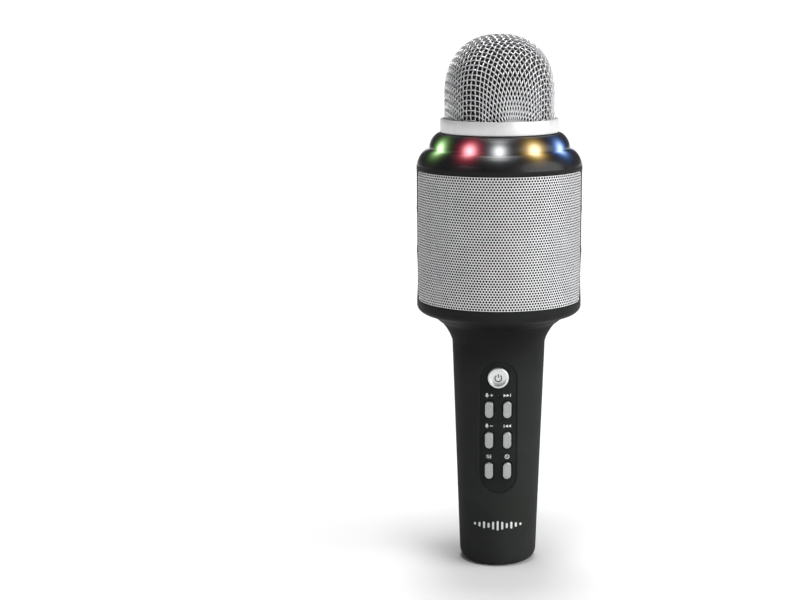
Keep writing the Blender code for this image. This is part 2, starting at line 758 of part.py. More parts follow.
def make_speaker(plastic, steel, magnet_finish, paper, copper):
    baffle_low = (-32.6 * MM, BAFFLE_FRONT, 127.8 * MM)
    baffle_high = (32.6 * MM, BAFFLE_FRONT + BAFFLE_THICKNESS, 188.4 * MM)
    baffle = box("speaker_baffle", baffle_low, baffle_high)
    hole_start = (0.0, BAFFLE_FRONT - MM, SPEAKER_HEIGHT)
    hole_end = (0.0, BAFFLE_FRONT + 4 * MM, SPEAKER_HEIGHT)
    boolean(baffle, as_cutter(rod("sound_hole", 22.9 * MM, hole_start, hole_end, 24)))
    as_part(baffle, plastic)

    frame = [(26.0, 0.0), (26.0, -1.2), (23.8, -1.2), (13.4, -12.6), (13.4, -14.0)]
    frame += [(7.4, -14.0), (7.4, -12.8), (12.4, -12.8), (22.6, -1.0), (22.6, 0.0)]
    part = turned("speaker_frame", in_mm(frame), 24, closed=True)
    as_part(facing_front(part), steel)

    magnet = [(0.0, -9.6), (5.6, -9.6), (5.6, -14.3), (15.0, -14.3), (15.0, -22.3), (0.0, -22.3)]
    part = turned("speaker_magnet", in_mm(magnet), 24, closed=False)
    as_part(facing_front(part), magnet_finish)

    cone = [(22.0, -0.4), (22.0, -1.0), (20.3, 0.2), (18.6, -1.4), (7.0, -8.9)]
    cone += [(7.0, -8.2), (18.6, -0.6), (20.3, 0.9)]
    part = turned("speaker_cone", in_mm(cone), 24, closed=True)
    as_part(facing_front(part), paper)

    cap = [(0.0, -4.9), (4.0, -5.3), (6.6, -6.3), (7.9, -7.15), (7.3, -7.15)]
    cap += [(6.2, -6.8), (3.8, -5.85), (0.0, -5.45)]
    part = turned("cone_cap", in_mm(cap), 24, closed=False)
    as_part(facing_front(part), paper)

    coil = [(6.7, -7.9), (6.7, -13.2), (6.0, -13.2), (6.0, -7.9)]
    part = turned("voice_coil", in_mm(coil), 24, closed=True)
    as_part(facing_front(part), copper)


# ---------------------------------------------------------------- shoulder, lights and neck


def shoulder_outline():
    """The gloss shoulder's outer side from its top edge down to the barrel."""
    centre = (SHOULDER_TOP_RADIUS, SHOULDER_CREST)
    radii = (BARREL_RADIUS - SHOULDER_TOP_RADIUS, SHOULDER_TOP - SHOULDER_CREST)
    points = arc_points(centre, radii, 90, 0, 7, power=1.1)
    return [(radius, height) for radius, height in points if height > BARREL_TOP + GAP]


def make_shoulder(gloss):
    bottom = BARREL_TOP + GAP
    inner_edge = 31.1 * MM
    profile = shoulder_outline() + [(BARREL_RADIUS - 0.05 * MM, bottom)]
    profile += [(35.7 * MM, bottom), (34.0 * MM, 193.6 * MM), (inner_edge, 195.6 * MM)]
    profile += [(inner_edge, SHOULDER_TOP)]
    as_part(turned("shoulder_ring", profile, BARREL_STEPS, closed=True), gloss)


def lens_outline(offset=0.0, count=6):
    """The light tier's outer side from the collar down, or its inner side at an offset."""
    centre = (LENS_TOP_RADIUS - offset, LENS_CREST)
    radii = (LENS_RADIUS - LENS_TOP_RADIUS, LENS_TOP - LENS_CREST - offset)
    return arc_points(centre, radii, 90, 0, count, power=1.3)


def make_lens(smoked):
    inner_edge = 24.2 * MM
    profile = lens_outline() + [(LENS_RADIUS, LENS_BOTTOM)]
    profile += [(LENS_RADIUS - LENS_WALL, LENS_BOTTOM)]
    profile += list(reversed(lens_outline(LENS_WALL, 4)))
    profile += [(inner_edge, LENS_TOP - LENS_WALL), (inner_edge, LENS_TOP)]
    as_part(turned("light_lens", profile, BARREL_STEPS, closed=True), smoked)


def make_lights(board, diffuser):
    low, high = 195.7 * MM, 196.9 * MM
    ring = [(30.8 * MM, high), (30.8 * MM, low), (21.1 * MM, low), (21.1 * MM, high)]
    as_part(turned("light_board", ring, 24, closed=True), board)
    half = 2.4 * MM
    for number, degrees in enumerate(LIGHT_ANGLES, start=1):
        angle = math.radians(degrees)
        light = box(f"light_{number:02d}", (-half, -half, 0.0), (half, half, 1.6 * MM))
        centre_height = high + GAP + 0.8 * MM
        light.location = (LIGHT_RADIUS * math.sin(angle), -LIGHT_RADIUS * math.cos(angle), centre_height)
        light.rotation_euler = (0.0, 0.0, angle)
        as_part(light, diffuser)


def make_neck(plastic):
    """The barrel's top deck with the threaded neck that the head screws onto."""
    deck_bottom, deck_top = 191.2 * MM, 193.0 * MM
    seat = 195.4 * MM
    profile = [(NECK_RADIUS, NECK_TOP), (NECK_RADIUS, seat), (23.5 * MM, seat), (23.5 * MM, deck_top)]
    profile += [(33.6 * MM, deck_top), (33.6 * MM, deck_bottom), (NECK_BORE, deck_bottom)]
    profile += [(NECK_BORE, NECK_TOP)]
    neck = turned("neck_deck", profile, 32, closed=True)
    rib = helix("thread_rib", NECK_RADIUS + 0.15 * MM, THREAD_RIB, 205.9 * MM, 0.6)
    boolean(neck, rib, "UNION")
    as_part(neck, plastic)


def make_collar(metal):
    """The metal ring that holds the mesh and screws onto the neck."""
    edge = 0.4 * MM
    pocket_outer = MESH_RADIUS + GAP
    pocket_inner = MESH_RADIUS - MESH_THICKNESS - GAP
    pocket_floor = 206.6 * MM
    hub_top = 209.6 * MM
    bore = NECK_RADIUS + GAP
    profile = [(COLLAR_RADIUS - edge, COLLAR_TOP), (COLLAR_RADIUS, COLLAR_TOP - edge)]
    profile += [(COLLAR_RADIUS, COLLAR_BOTTOM + edge), (COLLAR_RADIUS - edge, COLLAR_BOTTOM)]
    profile += [(bore, COLLAR_BOTTOM), (bore, hub_top), (pocket_inner, hub_top)]
    profile += [(pocket_inner, pocket_floor), (pocket_outer, pocket_floor)]
    profile += [(pocket_outer, COLLAR_TOP)]
    collar = turned("head_collar", profile, 32, closed=True)
    rest_turns = 0.8
    low = 205.9 * MM - rest_turns * THREAD_PITCH
    groove = helix("thread_groove", NECK_RADIUS + 0.15 * MM, THREAD_RIB + 0.35 * MM, low, 1.75)
    groove.rotation_euler = (0.0, 0.0, -2 * math.pi * rest_turns)
    boolean(collar, groove)
    as_part(collar, metal)


def dome(radius, top, bottom, count):
    """A dome with straight lower sides, from the pole down to its open edge."""
    points = []
    for i in range(count):
        angle = math.radians(90 - 90 * i / (count - 1))
        across = math.cos(angle) ** (2 / MESH_POWER) if i else 0.0
        up = math.sin(angle) ** (2 / MESH_POWER) if i < count - 1 else 0.0
        points.append((radius * across, MESH_SPRING_LINE + (top - MESH_SPRING_LINE) * up))
    return points + [(radius, bottom)]


def dome_shell(name, radius, top, bottom, thickness, steps, count):
    outer = dome(radius, top, bottom, count)
    inner = dome(radius - thickness, top - thickness, bottom, count)
    return turned(name, outer + list(reversed(inner)), steps, closed=False)


def make_head(metal, foam):
    basket = dome_shell("mesh_basket", MESH_RADIUS, MESH_TOP, 206.9 * MM, MESH_THICKNESS, 32, 7)
    as_part(basket, metal)
    inset = MESH_THICKNESS + 0.8 * MM
    radius, top = MESH_RADIUS - inset, MESH_TOP - inset
    liner = dome_shell("foam_liner", radius, top, 210.0 * MM, FOAM_THICKNESS, 24, 7)
    as_part(liner, foam)


def make_capsule(rubber, metal):
    cradle = [(7.0, 228.0), (7.0, 221.0), (5.5, 218.0), (8.5, 210.3), (20.0, 209.8)]
    cradle += [(20.0, 208.3), (1.6, 208.3), (1.6, 222.2), (5.2, 222.2), (5.2, 228.0)]
    as_part(turned("capsule_cradle", in_mm(cradle), 16, closed=True), rubber)
    low, high = 222.5 * MM, 229.2 * MM
    as_part(rod("mic_capsule", 4.85 * MM, (0, 0, low), (0, 0, high)), metal)


def make_leads(red, grey):
    capsule_route = [(0, 0, 222.1), (0, 0, 212), (0, 3, 196), (0, 20, 184), (0, 26, 160)]
    capsule_route += [(0, 22, 134), (-2, 8, 116), (-2.5, -1, 106), (-3, -4.6, 98)]
    lead = wire("capsule_lead", smooth_route(capsule_route, 3), 0.9 * MM)
    PARTS.objects.link(lead)
    lead.data.materials.append(grey)
    speaker_route = [(6, 4.2, 140.5), (6, 9, 129), (2.8, 6, 116), (2.5, -1, 106), (3, -4.6, 98)]
    lead = wire("speaker_lead", smooth_route(speaker_route, 3), 0.8 * MM)
    PARTS.objects.link(lead)
    lead.data.materials.append(red)


# ---------------------------------------------------------------- assembly

clear_scene()
PARTS = new_collection("toy_microphone")
CUTTERS = new_collection("cutters")

matte_black = material("matte_black_plastic", (0.028, 0.032, 0.030), 0.55)
panel_black = material("panel_black_plastic", (0.018, 0.019, 0.018), 0.5)
gloss_black = material("gloss_black_plastic", (0.010, 0.010, 0.011), 0.08)
smoked_clear = material("smoked_clear_plastic", (0.05, 0.05, 0.055), 0.05)
silver_paint = material("silver_plastic", (0.55, 0.56, 0.56), 0.35, 0.6)
satin_metal = material("satin_metal", (0.78, 0.79, 0.80), 0.3, 1.0)
mesh_metal = material("mesh_metal", (0.62, 0.62, 0.63), 0.3, 1.0)
grille_metal = material("grille_metal", (0.70, 0.70, 0.71), 0.35, 1.0)
black_cloth = material("black_cloth", (0.01, 0.01, 0.01), 0.9)
grey_foam = material("grey_foam", (0.03, 0.03, 0.03), 0.95)
green_board = material("green_board", (0.02, 0.16, 0.06), 0.45)
light_body = material("light_body", (0.85, 0.85, 0.80), 0.35)
plain_steel = material("plain_steel", (0.45, 0.45, 0.46), 0.35, 1.0)
black_plastic = material("black_plastic", (0.02, 0.02, 0.02), 0.5)
dark_magnet = material("dark_magnet", (0.09, 0.09, 0.095), 0.45, 0.8)
cone_paper = material("cone_paper", (0.03, 0.03, 0.03), 0.85)
copper_wire = material("copper_wire", (0.72, 0.32, 0.16), 0.3, 1.0)
battery_wrap = material("battery_wrap", (0.05, 0.20, 0.45), 0.35)
black_rubber = material("black_rubber", (0.02, 0.02, 0.02), 0.8)
red_insulation = material("red_insulation", (0.5, 0.03, 0.02), 0.45)
grey_insulation = material("grey_insulation", (0.25, 0.25, 0.25), 0.5)

make_handle(matte_black)
make_end_cap(black_plastic)
make_screws(plain_steel)
make_panel(panel_black)
make_buttons(silver_paint)
make_status_light(smoked_clear)
make_boards(green_board, plain_steel, black_plastic)
make_battery(battery_wrap, black_plastic)
make_barrel(matte_black)
make_grille(grille_metal, black_cloth)
make_speaker(black_plastic, plain_steel, dark_magnet, cone_paper, copper_wire)
make_shoulder(gloss_black)
make_lens(smoked_clear)
make_lights(green_board, light_body)
make_neck(black_plastic)
make_collar(satin_metal)
make_head(mesh_metal, grey_foam)
make_capsule(black_rubber, satin_metal)
make_leads(red_insulation, grey_insulation)
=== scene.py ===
"""The looks of a toy karaoke microphone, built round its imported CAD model."""

import json
import math

import bmesh
import bpy
from mathutils import Matrix, Vector
from mathutils.geometry import delaunay_2d_cdt


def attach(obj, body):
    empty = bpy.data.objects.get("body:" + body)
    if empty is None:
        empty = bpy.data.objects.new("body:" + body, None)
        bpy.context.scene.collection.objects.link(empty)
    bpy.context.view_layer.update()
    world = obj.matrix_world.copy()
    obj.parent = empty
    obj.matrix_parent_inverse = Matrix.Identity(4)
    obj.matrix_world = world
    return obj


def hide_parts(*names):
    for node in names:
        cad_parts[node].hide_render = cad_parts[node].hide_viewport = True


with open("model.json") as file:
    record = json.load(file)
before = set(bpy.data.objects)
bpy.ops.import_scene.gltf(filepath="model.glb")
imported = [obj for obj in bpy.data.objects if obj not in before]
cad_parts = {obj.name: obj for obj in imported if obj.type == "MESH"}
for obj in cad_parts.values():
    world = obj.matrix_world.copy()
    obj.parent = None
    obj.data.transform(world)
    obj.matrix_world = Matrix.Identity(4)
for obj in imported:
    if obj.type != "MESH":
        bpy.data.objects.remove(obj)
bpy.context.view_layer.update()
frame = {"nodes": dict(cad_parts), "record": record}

MM = 0.001


# ---------------------------------------------------------------- materials


class Nodes:
    """Short ways to wire a material's node tree."""

    def __init__(self, name):
        self.material = bpy.data.materials.new(name)
        self.material.use_nodes = True
        self.tree = self.material.node_tree
        self.shader = self.tree.nodes["Principled BSDF"]
        self.place = self.add("ShaderNodeTexCoord").outputs["Object"]

    def add(self, kind, **settings):
        node = self.tree.nodes.new(kind)
        for key, value in settings.items():
            setattr(node, key, value)
        return node

    def wire(self, source, target):
        self.tree.links.new(source, target)

    def set(self, **values):
        for key, value in values.items():
            self.shader.inputs[key.replace("_", " ")].default_value = value

    def stretched(self, scale):
        mapping = self.add("ShaderNodeMapping")
        mapping.inputs["Scale"].default_value = scale
        self.wire(self.place, mapping.inputs["Vector"])
        return mapping.outputs["Vector"]

    def noise(self, scale, detail=4.0, roughness=0.55, vector=None):
        node = self.add("ShaderNodeTexNoise")
        node.inputs["Scale"].default_value = scale
        node.inputs["Detail"].default_value = detail
        node.inputs["Roughness"].default_value = roughness
        self.wire(vector or self.place, node.inputs["Vector"])
        return node.outputs["Fac"]

    def ramp(self, source, stops):
        node = self.add("ShaderNodeValToRGB")
        elements = node.color_ramp.elements
        while len(elements) < len(stops):
            elements.new(0.5)
        for element, (position, colour) in zip(elements, stops):
            element.position = position
            element.color = (*colour, 1.0)
        self.wire(source, node.inputs["Fac"])
        return node.outputs["Color"]

    def span(self, source, low, high, start=0.3, end=0.7):
        node = self.add("ShaderNodeMapRange")
        node.inputs["From Min"].default_value = start
        node.inputs["From Max"].default_value = end
        node.inputs["To Min"].default_value = low
        node.inputs["To Max"].default_value = high
        self.wire(source, node.inputs["Value"])
        return node.outputs["Result"]

    def math(self, operation, first, second=None):
        node = self.add("ShaderNodeMath", operation=operation)
        for socket, value in zip(node.inputs, (first, second)):
            if value is None:
                continue
            if isinstance(value, (int, float)):
                socket.default_value = value
            else:
                self.wire(value, socket)
        return node.outputs[0]

    def bump(self, source, strength, distance, under=None):
        node = self.add("ShaderNodeBump")
        node.inputs["Strength"].default_value = strength
        node.inputs["Distance"].default_value = distance
        self.wire(source, node.inputs["Height"])
        if under:
            self.wire(under, node.inputs["Normal"])
        return node.outputs["Normal"]

    def finish(self, colour=None, roughness=None, normal=None):
        if colour:
            self.wire(colour, self.shader.inputs["Base Color"])
        if roughness:
            self.wire(roughness, self.shader.inputs["Roughness"])
        if normal:
            self.wire(normal, self.shader.inputs["Normal"])
        return self.material


def tones(colour, spread):
    """A darker and a lighter version of a colour, for a ramp over noise."""
    dark = tuple(channel * (1 - spread) for channel in colour)
    light = tuple(min(1.0, channel * (1 + spread)) for channel in colour)
    return [(0.3, dark), (0.7, light)]


def moulded(name, colour, rough, grain=0.25, spread=0.1, scale=2600.0, specular=0.5, painted_shade=None):
    """Moulded plastic with a spark-eroded grain and slow changes of tone.

    The painted shade, if given, is (start, end, least): two heights between which the tone falls to its least
    share.
    """
    n = Nodes(name)
    n.set(Specular_IOR_Level=specular)
    slow = n.noise(55.0, 3.0)
    fine = n.noise(scale, 5.0, 0.6)
    colour_out = n.ramp(slow, tones(colour, spread))
    # Painted shade: the tone falls to its least share between two heights.
    if painted_shade:
        start, end, least = painted_shade
        split = n.add("ShaderNodeSeparateXYZ")
        n.wire(n.place, split.inputs[0])
        painted_shade_node = n.add("ShaderNodeVectorMath", operation="SCALE")
        n.wire(colour_out, painted_shade_node.inputs[0])
        n.wire(n.span(split.outputs["Z"], 1.0, least, start, end), painted_shade_node.inputs["Scale"])
        colour_out = painted_shade_node.outputs["Vector"]
    rough_out = n.span(fine, rough - 0.07, rough + 0.07)
    return n.finish(colour_out, rough_out, n.bump(fine, grain, 0.00006))


def gloss(name, colour, rough, coat=0.5):
    """Polished plastic with faint handling marks."""
    n = Nodes(name)
    n.set(Coat_Weight=coat, Coat_Roughness=0.06)
    marks = n.noise(420.0, 6.0, 0.65, n.stretched((1.0, 1.0, 0.35)))
    colour_out = n.ramp(n.noise(70.0), tones(colour, 0.15))
    return n.finish(colour_out, n.span(marks, rough, rough + 0.12), n.bump(marks, 0.05, 0.00004))


def metal(name, colour, rough, metallic=1.0, brush=(1.0, 1.0, 12.0), depth=0.06):
    """Metal with brushed or rolled lines that run across the brush direction."""
    n = Nodes(name)
    n.set(Metallic=metallic)
    lines = n.noise(900.0, 5.0, 0.6, n.stretched(brush))
    colour_out = n.ramp(n.noise(130.0, 3.0), tones(colour, 0.06))
    return n.finish(colour_out, n.span(lines, rough - 0.06, rough + 0.08), n.bump(lines, depth, 0.00005))


def woven(name, colour, pitch):
    """Cloth whose threads cross at the given pitch."""
    n = Nodes(name)
    n.set(Sheen_Weight=0.3)
    heights = []
    for axis in ("X", "Z"):
        wave = n.add("ShaderNodeTexWave", bands_direction=axis)
        wave.inputs["Scale"].default_value = 0.05 * math.tau / pitch
        wave.inputs["Distortion"].default_value = 0.6
        n.wire(n.place, wave.inputs["Vector"])
        heights.append(wave.outputs["Fac"])
    weave = n.math("MAXIMUM", *heights)
    return n.finish(n.ramp(weave, tones(colour, 0.5)), n.span(weave, 0.95, 0.8), n.bump(weave, 0.6, 0.0001))


def open_foam(name, colour):
    """Reticulated foam with round pores."""
    n = Nodes(name)
    cells = n.add("ShaderNodeTexVoronoi")
    cells.inputs["Scale"].default_value = 1500.0
    n.wire(n.place, cells.inputs["Vector"])
    depth = cells.outputs["Distance"]
    tone = n.ramp(depth, [(0.1, (0.0, 0.0, 0.0)), (0.8, colour)])
    return n.finish(tone, n.span(depth, 0.98, 0.85), n.bump(depth, 0.9, 0.0003))


def circuit_board(name, colour):
    """Solder mask with paler tracks under it."""
    n = Nodes(name)
    bricks = n.add("ShaderNodeTexBrick")
    bricks.inputs["Scale"].default_value = 260.0
    bricks.inputs["Mortar Size"].default_value = 0.05
    bricks.inputs["Color1"].default_value = (*colour, 1.0)
    bricks.inputs["Color2"].default_value = (colour[0] * 1.4, colour[1] * 1.2, colour[2] * 1.3, 1.0)
    bricks.inputs["Mortar"].default_value = (0.05, 0.35, 0.12, 1.0)
    n.wire(n.place, bricks.inputs["Vector"])
    mask = n.noise(900.0)
    relief = n.bump(bricks.outputs["Fac"], 0.2, 0.00005)
    return n.finish(bricks.outputs["Color"], n.span(mask, 0.3, 0.45), relief)


# Painted shade: the handle grows darker from 88 mm up to 113 mm, under the barrel.
HANDLE_PAINTED_SHADE = (88.0 * MM, 113.0 * MM, 0.4)
HANDLE_BLACK = moulded("handle_plastic_painted_shade", (0.0255, 0.0275, 0.0260), 0.6, 0.35, specular=0.03, painted_shade=HANDLE_PAINTED_SHADE)
# Painted shade: the barrel's underside grows darker from 125 mm down to 117 mm, where it meets the handle.
BARREL_PAINTED_SHADE = (125.0 * MM, 117.0 * MM, 0.4)
BARREL_BLACK = moulded("barrel_plastic_painted_shade", (0.0190, 0.0200, 0.0195), 0.5, 0.2, specular=0.04, painted_shade=BARREL_PAINTED_SHADE)
PANEL_BLACK = moulded("panel_plastic", (0.0170, 0.0190, 0.0180), 0.6, 0.9, 0.2, 1500.0, 0.04)
GLOSS_BLACK = gloss("shoulder_plastic", (0.010, 0.010, 0.011), 0.2, 0.1)
KEY_SILVER = metal("key_silver", (0.37, 0.38, 0.38), 0.3, 0.8, (1.0, 1.0, 1.0), 0.03)
POWER_SILVER = metal("power_key_silver", (0.70, 0.71, 0.70), 0.3, 0.7, (1.0, 1.0, 1.0), 0.03)
COLLAR_SILVER = metal("collar_silver", (0.82, 0.82, 0.82), 0.38, 0.4)
GRILLE_SILVER = metal("grille_silver", (0.77, 0.77, 0.78), 0.5, 0.2, (1.0, 1.0, 6.0))
# Painted shade: the grille's hole walls are coloured near-black so that the holes read dark.
HOLE_PAINTED_SHADE = moulded("hole_wall_painted_shade", (0.004, 0.004, 0.004), 0.8, 0.3, specular=0.02)
WIRE_SILVER = metal("wire_silver", (0.72, 0.72, 0.73), 0.3, 0.75, (1.0, 1.0, 1.0), 0.04)
CLOTH_BLACK = woven("dust_cloth", (0.006, 0.006, 0.006), 0.35 * MM)
FOAM_DARK = open_foam("liner_foam", (0.035, 0.035, 0.037))
PRINT_WHITE = moulded("printed_white", (0.72, 0.73, 0.72), 0.5, 0.3, 0.06)
PRINT_DARK = moulded("printed_dark", (0.06, 0.06, 0.065), 0.5, 0.3, 0.12)
STEEL = metal("zinc_steel", (0.52, 0.52, 0.54), 0.35)
INNER_BLACK = moulded("inner_plastic", (0.018, 0.018, 0.019), 0.55, 0.4)

SLOT_LOOKS = {
    "matte_black": HANDLE_BLACK,
    "panel_black": PANEL_BLACK,
    "gloss_black": GLOSS_BLACK,
    "silver_plastic": KEY_SILVER,
    "satin_metal": COLLAR_SILVER,
    "mesh_metal": WIRE_SILVER,
    "grille_metal": GRILLE_SILVER,
    "black_cloth": CLOTH_BLACK,
    "grey_foam": FOAM_DARK,
    "green_board": circuit_board("circuit_board", (0.006, 0.10, 0.035)),
    "light_body": moulded("light_package", (0.75, 0.74, 0.66), 0.4, 0.15),
    "plain_steel": STEEL,
    "black_plastic": INNER_BLACK,
    "dark_magnet": moulded("sintered_magnet", (0.035, 0.036, 0.04), 0.45, 0.8, 0.25, 1200.0),
    "cone_paper": moulded("pressed_paper", (0.028, 0.027, 0.025), 0.85, 1.0, 0.3, 900.0),
    "copper_wire": metal("copper_winding", (0.72, 0.34, 0.16), 0.3, 1.0, (1.0, 14.0, 1.0), 0.5),
    "battery_wrap": gloss("battery_sleeve", (0.02, 0.09, 0.30), 0.25, 0.3),
    "black_rubber": moulded("soft_rubber", (0.016, 0.016, 0.016), 0.8, 0.6, 0.15, 1500.0),
    "red_insulation": moulded("red_lead", (0.45, 0.012, 0.012), 0.4, 0.2),
    "grey_insulation": moulded("grey_lead", (0.24, 0.24, 0.25), 0.4, 0.2),
}

# ---------------------------------------------------------------- coloured lights

GREEN = (0.30, 0.72, 0.14)
RED = (0.92, 0.03, 0.10)
WHITE = (0.26, 0.27, 0.29)
AMBER = (1.0, 0.60, 0.08)
BLUE = (0.03, 0.24, 0.82)
DIM_BLUE = (0.01, 0.06, 0.20)
GLOW_RADIUS = 32.9 * MM
GLOW_HEIGHT = 199.0 * MM
# Each layer of a glow: its reach, its power and how pale it is.
GLOW_LAYERS = ((2.7 * MM, 1.25, 0.65), (4.4 * MM, 0.9, 0.0))
LIGHT_COLOURS = {
    -55: GREEN,
    -24: RED,
    0: WHITE,
    29: AMBER,
    57: BLUE,
    88: DIM_BLUE,
    118: GREEN,
    148: RED,
    180: WHITE,
    212: AMBER,
    242: BLUE,
    273: WHITE,
}


def round_about(radius, azimuth, height):
    """A point at an azimuth in degrees, from the front (-Y) towards +X."""
    angle = math.radians(azimuth)
    return Vector((radius * math.sin(angle), -radius * math.cos(angle), height))


def add_glow(n):
    """Lets the surface shine round each light: a pale core in a coloured halo."""
    total = None
    for azimuth, colour in LIGHT_COLOURS.items():
        gap = n.add("ShaderNodeVectorMath", operation="DISTANCE")
        n.wire(n.place, gap.inputs[0])
        gap.inputs[1].default_value = round_about(GLOW_RADIUS, azimuth, GLOW_HEIGHT)
        for reach, power, tint in GLOW_LAYERS:
            near = n.math("DIVIDE", gap.outputs["Value"], reach)
            fade = n.math("EXPONENT", n.math("MULTIPLY", n.math("MULTIPLY", near, near), -1.0))
            pale = tuple(channel + (1 - channel) * tint for channel in colour)
            layer = n.add("ShaderNodeVectorMath", operation="SCALE")
            layer.inputs[0].default_value = tuple(channel * power for channel in pale)
            n.wire(fade, layer.inputs["Scale"])
            if total is None:
                total = layer.outputs["Vector"]
                continue
            both = n.add("ShaderNodeVectorMath", operation="ADD")
            n.wire(total, both.inputs[0])
            n.wire(layer.outputs["Vector"], both.inputs[1])
            total = both.outputs["Vector"]
    n.wire(total, n.shader.inputs["Emission Color"])
    n.set(Emission_Strength=1.0)


def glowing(name, colour, spread, stretch, grain):
    """Dark gloss plastic that shines round each light."""
    n = Nodes(name)
    n.set(Coat_Weight=0.06, Coat_Roughness=0.1, Specular_IOR_Level=0.22)
    marks = n.noise(420.0, 6.0, 0.65, n.stretched(stretch) if stretch else None)
    add_glow(n)
    tone = n.ramp(n.noise(70.0), tones(colour, spread))
    return n.finish(tone, n.span(marks, 0.26, 0.36), n.bump(marks, grain, 0.00004))


def lit_package(name, colour):
    """A light's pale package, shining in its own colour."""
    n = Nodes(name)
    glow = n.ramp(n.noise(600.0), tones(colour, 0.25))
    n.wire(glow, n.shader.inputs["Emission Color"])
    n.set(Emission_Strength=3.0)
    return n.finish(n.ramp(n.noise(300.0), tones((0.75, 0.74, 0.68), 0.1)), n.span(n.noise(900.0), 0.3, 0.5))


LENS_BLACK = glowing("lens_plastic", (0.014, 0.014, 0.015), 0.2, None, 0.04)
SHOULDER_BLACK = glowing("lit_shoulder_plastic", (0.012, 0.012, 0.013), 0.15, (1.0, 1.0, 0.35), 0.05)
SLOT_LOOKS["smoked_clear"] = LENS_BLACK

# ---------------------------------------------------------------- mesh tools


def mesh_object(name, points, faces, looks, sharp=35.0):
    """A smooth mesh, with its edges sharp above an angle in degrees."""
    mesh = bpy.data.meshes.new(name)
    mesh.from_pydata(points, [], faces)
    mesh.update()
    mesh.materials.append(looks)
    mesh.shade_smooth()
    mesh.set_sharp_from_angle(angle=math.radians(sharp))
    obj = bpy.data.objects.new(name, mesh)
    bpy.context.scene.collection.objects.link(obj)
    return obj


def facing_out(obj):
    """Turns all faces of a mesh outwards."""
    bm = bmesh.new()
    bm.from_mesh(obj.data)
    bmesh.ops.recalc_face_normals(bm, faces=bm.faces)
    bm.to_mesh(obj.data)
    bm.free()
    return obj


class Sheet:
    """Collects points and faces of one surface."""

    def __init__(self):
        self.points = []
        self.faces = []

    def add(self, point):
        self.points.append(tuple(point))
        return len(self.points) - 1

    def loop(self, points):
        return [self.add(point) for point in points]

    def bridge(self, first, second, closed=True):
        """Quads between two rows of the same length."""
        count = len(first)
        for i in range(count if closed else count - 1):
            j = (i + 1) % count
            self.faces.append((first[i], first[j], second[j], second[i]))

    def chain(self, before, rows, closed=True):
        """Bridges a row, if there is one, on through further rows of points; returns the last."""
        for points in rows:
            row = self.loop(points)
            if before:
                self.bridge(before, row, closed)
            before = row
        return before

    def build(self, name, looks, sharp=35.0):
        return facing_out(mesh_object(name, self.points, self.faces, looks, sharp))


def turned(name, profile, looks, steps=240, sharp=35.0, closed=False):
    """Turns (radius, height) points about Z."""
    sheet = Sheet()
    turns = [math.tau * i / steps for i in range(steps)]
    rows = [sheet.loop([(r * math.sin(t), -r * math.cos(t), z) for t in turns]) for r, z in profile]
    for row, following in zip(rows, rows[1:] + (rows[:1] if closed else [])):
        sheet.bridge(row, following)
    return sheet.build(name, looks, sharp)


def superellipse(centre, radii, power, start, end, count):
    """Points on an arc whose roundness is set by a power; 1.0 is an ellipse."""
    points = []
    for i in range(count):
        angle = math.radians(start + (end - start) * i / (count - 1))
        cosine, sine = math.cos(angle), math.sin(angle)
        across = math.copysign(abs(cosine) ** power, cosine)
        up = math.copysign(abs(sine) ** power, sine)
        points.append((centre[0] + radii[0] * across, centre[1] + radii[1] * up))
    return points


def stadium_ring(centre, half_width, half_length, ends=18, side=10):
    """An upright slot's outline as evenly numbered (x, z) points."""
    straight = half_length - half_width
    ring = []
    for sign, first in ((1, 0.0), (-1, 180.0)):
        for i in range(ends):
            angle = math.radians(first + 180.0 * i / ends)
            x = centre[0] + half_width * math.cos(angle)
            ring.append((x, centre[1] + sign * straight + half_width * math.sin(angle)))
        for i in range(side if straight > 0 else 0):
            t = i / side
            ring.append((centre[0] - sign * half_width, centre[1] + sign * straight * (1 - 2 * t)))
    return ring


def numbered(flat, outline):
    """Adds a closed outline to a list of flat points; gives its numbers and its edges."""
    start = len(flat)
    flat += [Vector(point) for point in outline]
    loop = list(range(start, len(flat)))
    return loop, list(zip(loop, loop[1:] + loop[:1]))


def skin_faces(flat, edges, holes, tolerance=1e-9):
    """Triangles over flat points, without those that lie on one hole's outline alone."""
    result = delaunay_2d_cdt(flat, edges, [], 0, tolerance, True)
    origin = [sources[0] for sources in result[3]]
    owner = {index: number for number, loop in enumerate(holes) for index in loop}
    faces = []
    for triangle in result[2]:
        corners = tuple(origin[i] for i in triangle)
        owners = {owner.get(i, -1) for i in corners}
        if len(owners) > 1 or -1 in owners:
            faces.append(corners)
    return faces


def within(spot, outline):
    """True if a flat point is inside a convex outline."""
    sign = 0
    for a, b in zip(outline, outline[1:] + outline[:1]):
        turn = (b.x - a.x) * (spot.y - a.y) - (b.y - a.y) * (spot.x - a.x)
        if abs(turn) < 1e-16:
            continue
        if sign == 0:
            sign = 1 if turn > 0 else -1
        elif (turn > 0) != (sign > 0):
            return False
    return True


def placed(piece, body, node=None):
    """Hangs a piece on the body it moves with and hides the CAD node it stands for."""
    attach(piece, body)
    if node:
        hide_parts(node)


def mm(*points):
    """Points given in millimetres, in metres."""
    return [(first * MM, second * MM) for first, second in points]


# ---------------------------------------------------------------- handle surface

HANDLE_FOOT_RADIUS = 18.05 * MM
HANDLE_TAPER = 0.0355
FOOT_ROUNDING = 5.0 * MM
FOOT_FLAT_RADIUS = 13.5 * MM
FLARE_BOTTOM = 106.6 * MM
FLARE_TOP = 116.5 * MM
FLARE_RADIUS = 27.85 * MM
FLARE_POWER = 1.53
PANEL_HALF_WIDTH = 8.2 * MM
PANEL_BOTTOM = 37.1 * MM
PANEL_TOP = 100.2 * MM
PANEL_RECESS = 0.5 * MM
PANEL_CENTRE = (0.0, (PANEL_TOP + PANEL_BOTTOM) / 2)
PANEL_HALF_LENGTH = (PANEL_TOP - PANEL_BOTTOM) / 2


def handle_radius(height):
    return HANDLE_FOOT_RADIUS + HANDLE_TAPER * height


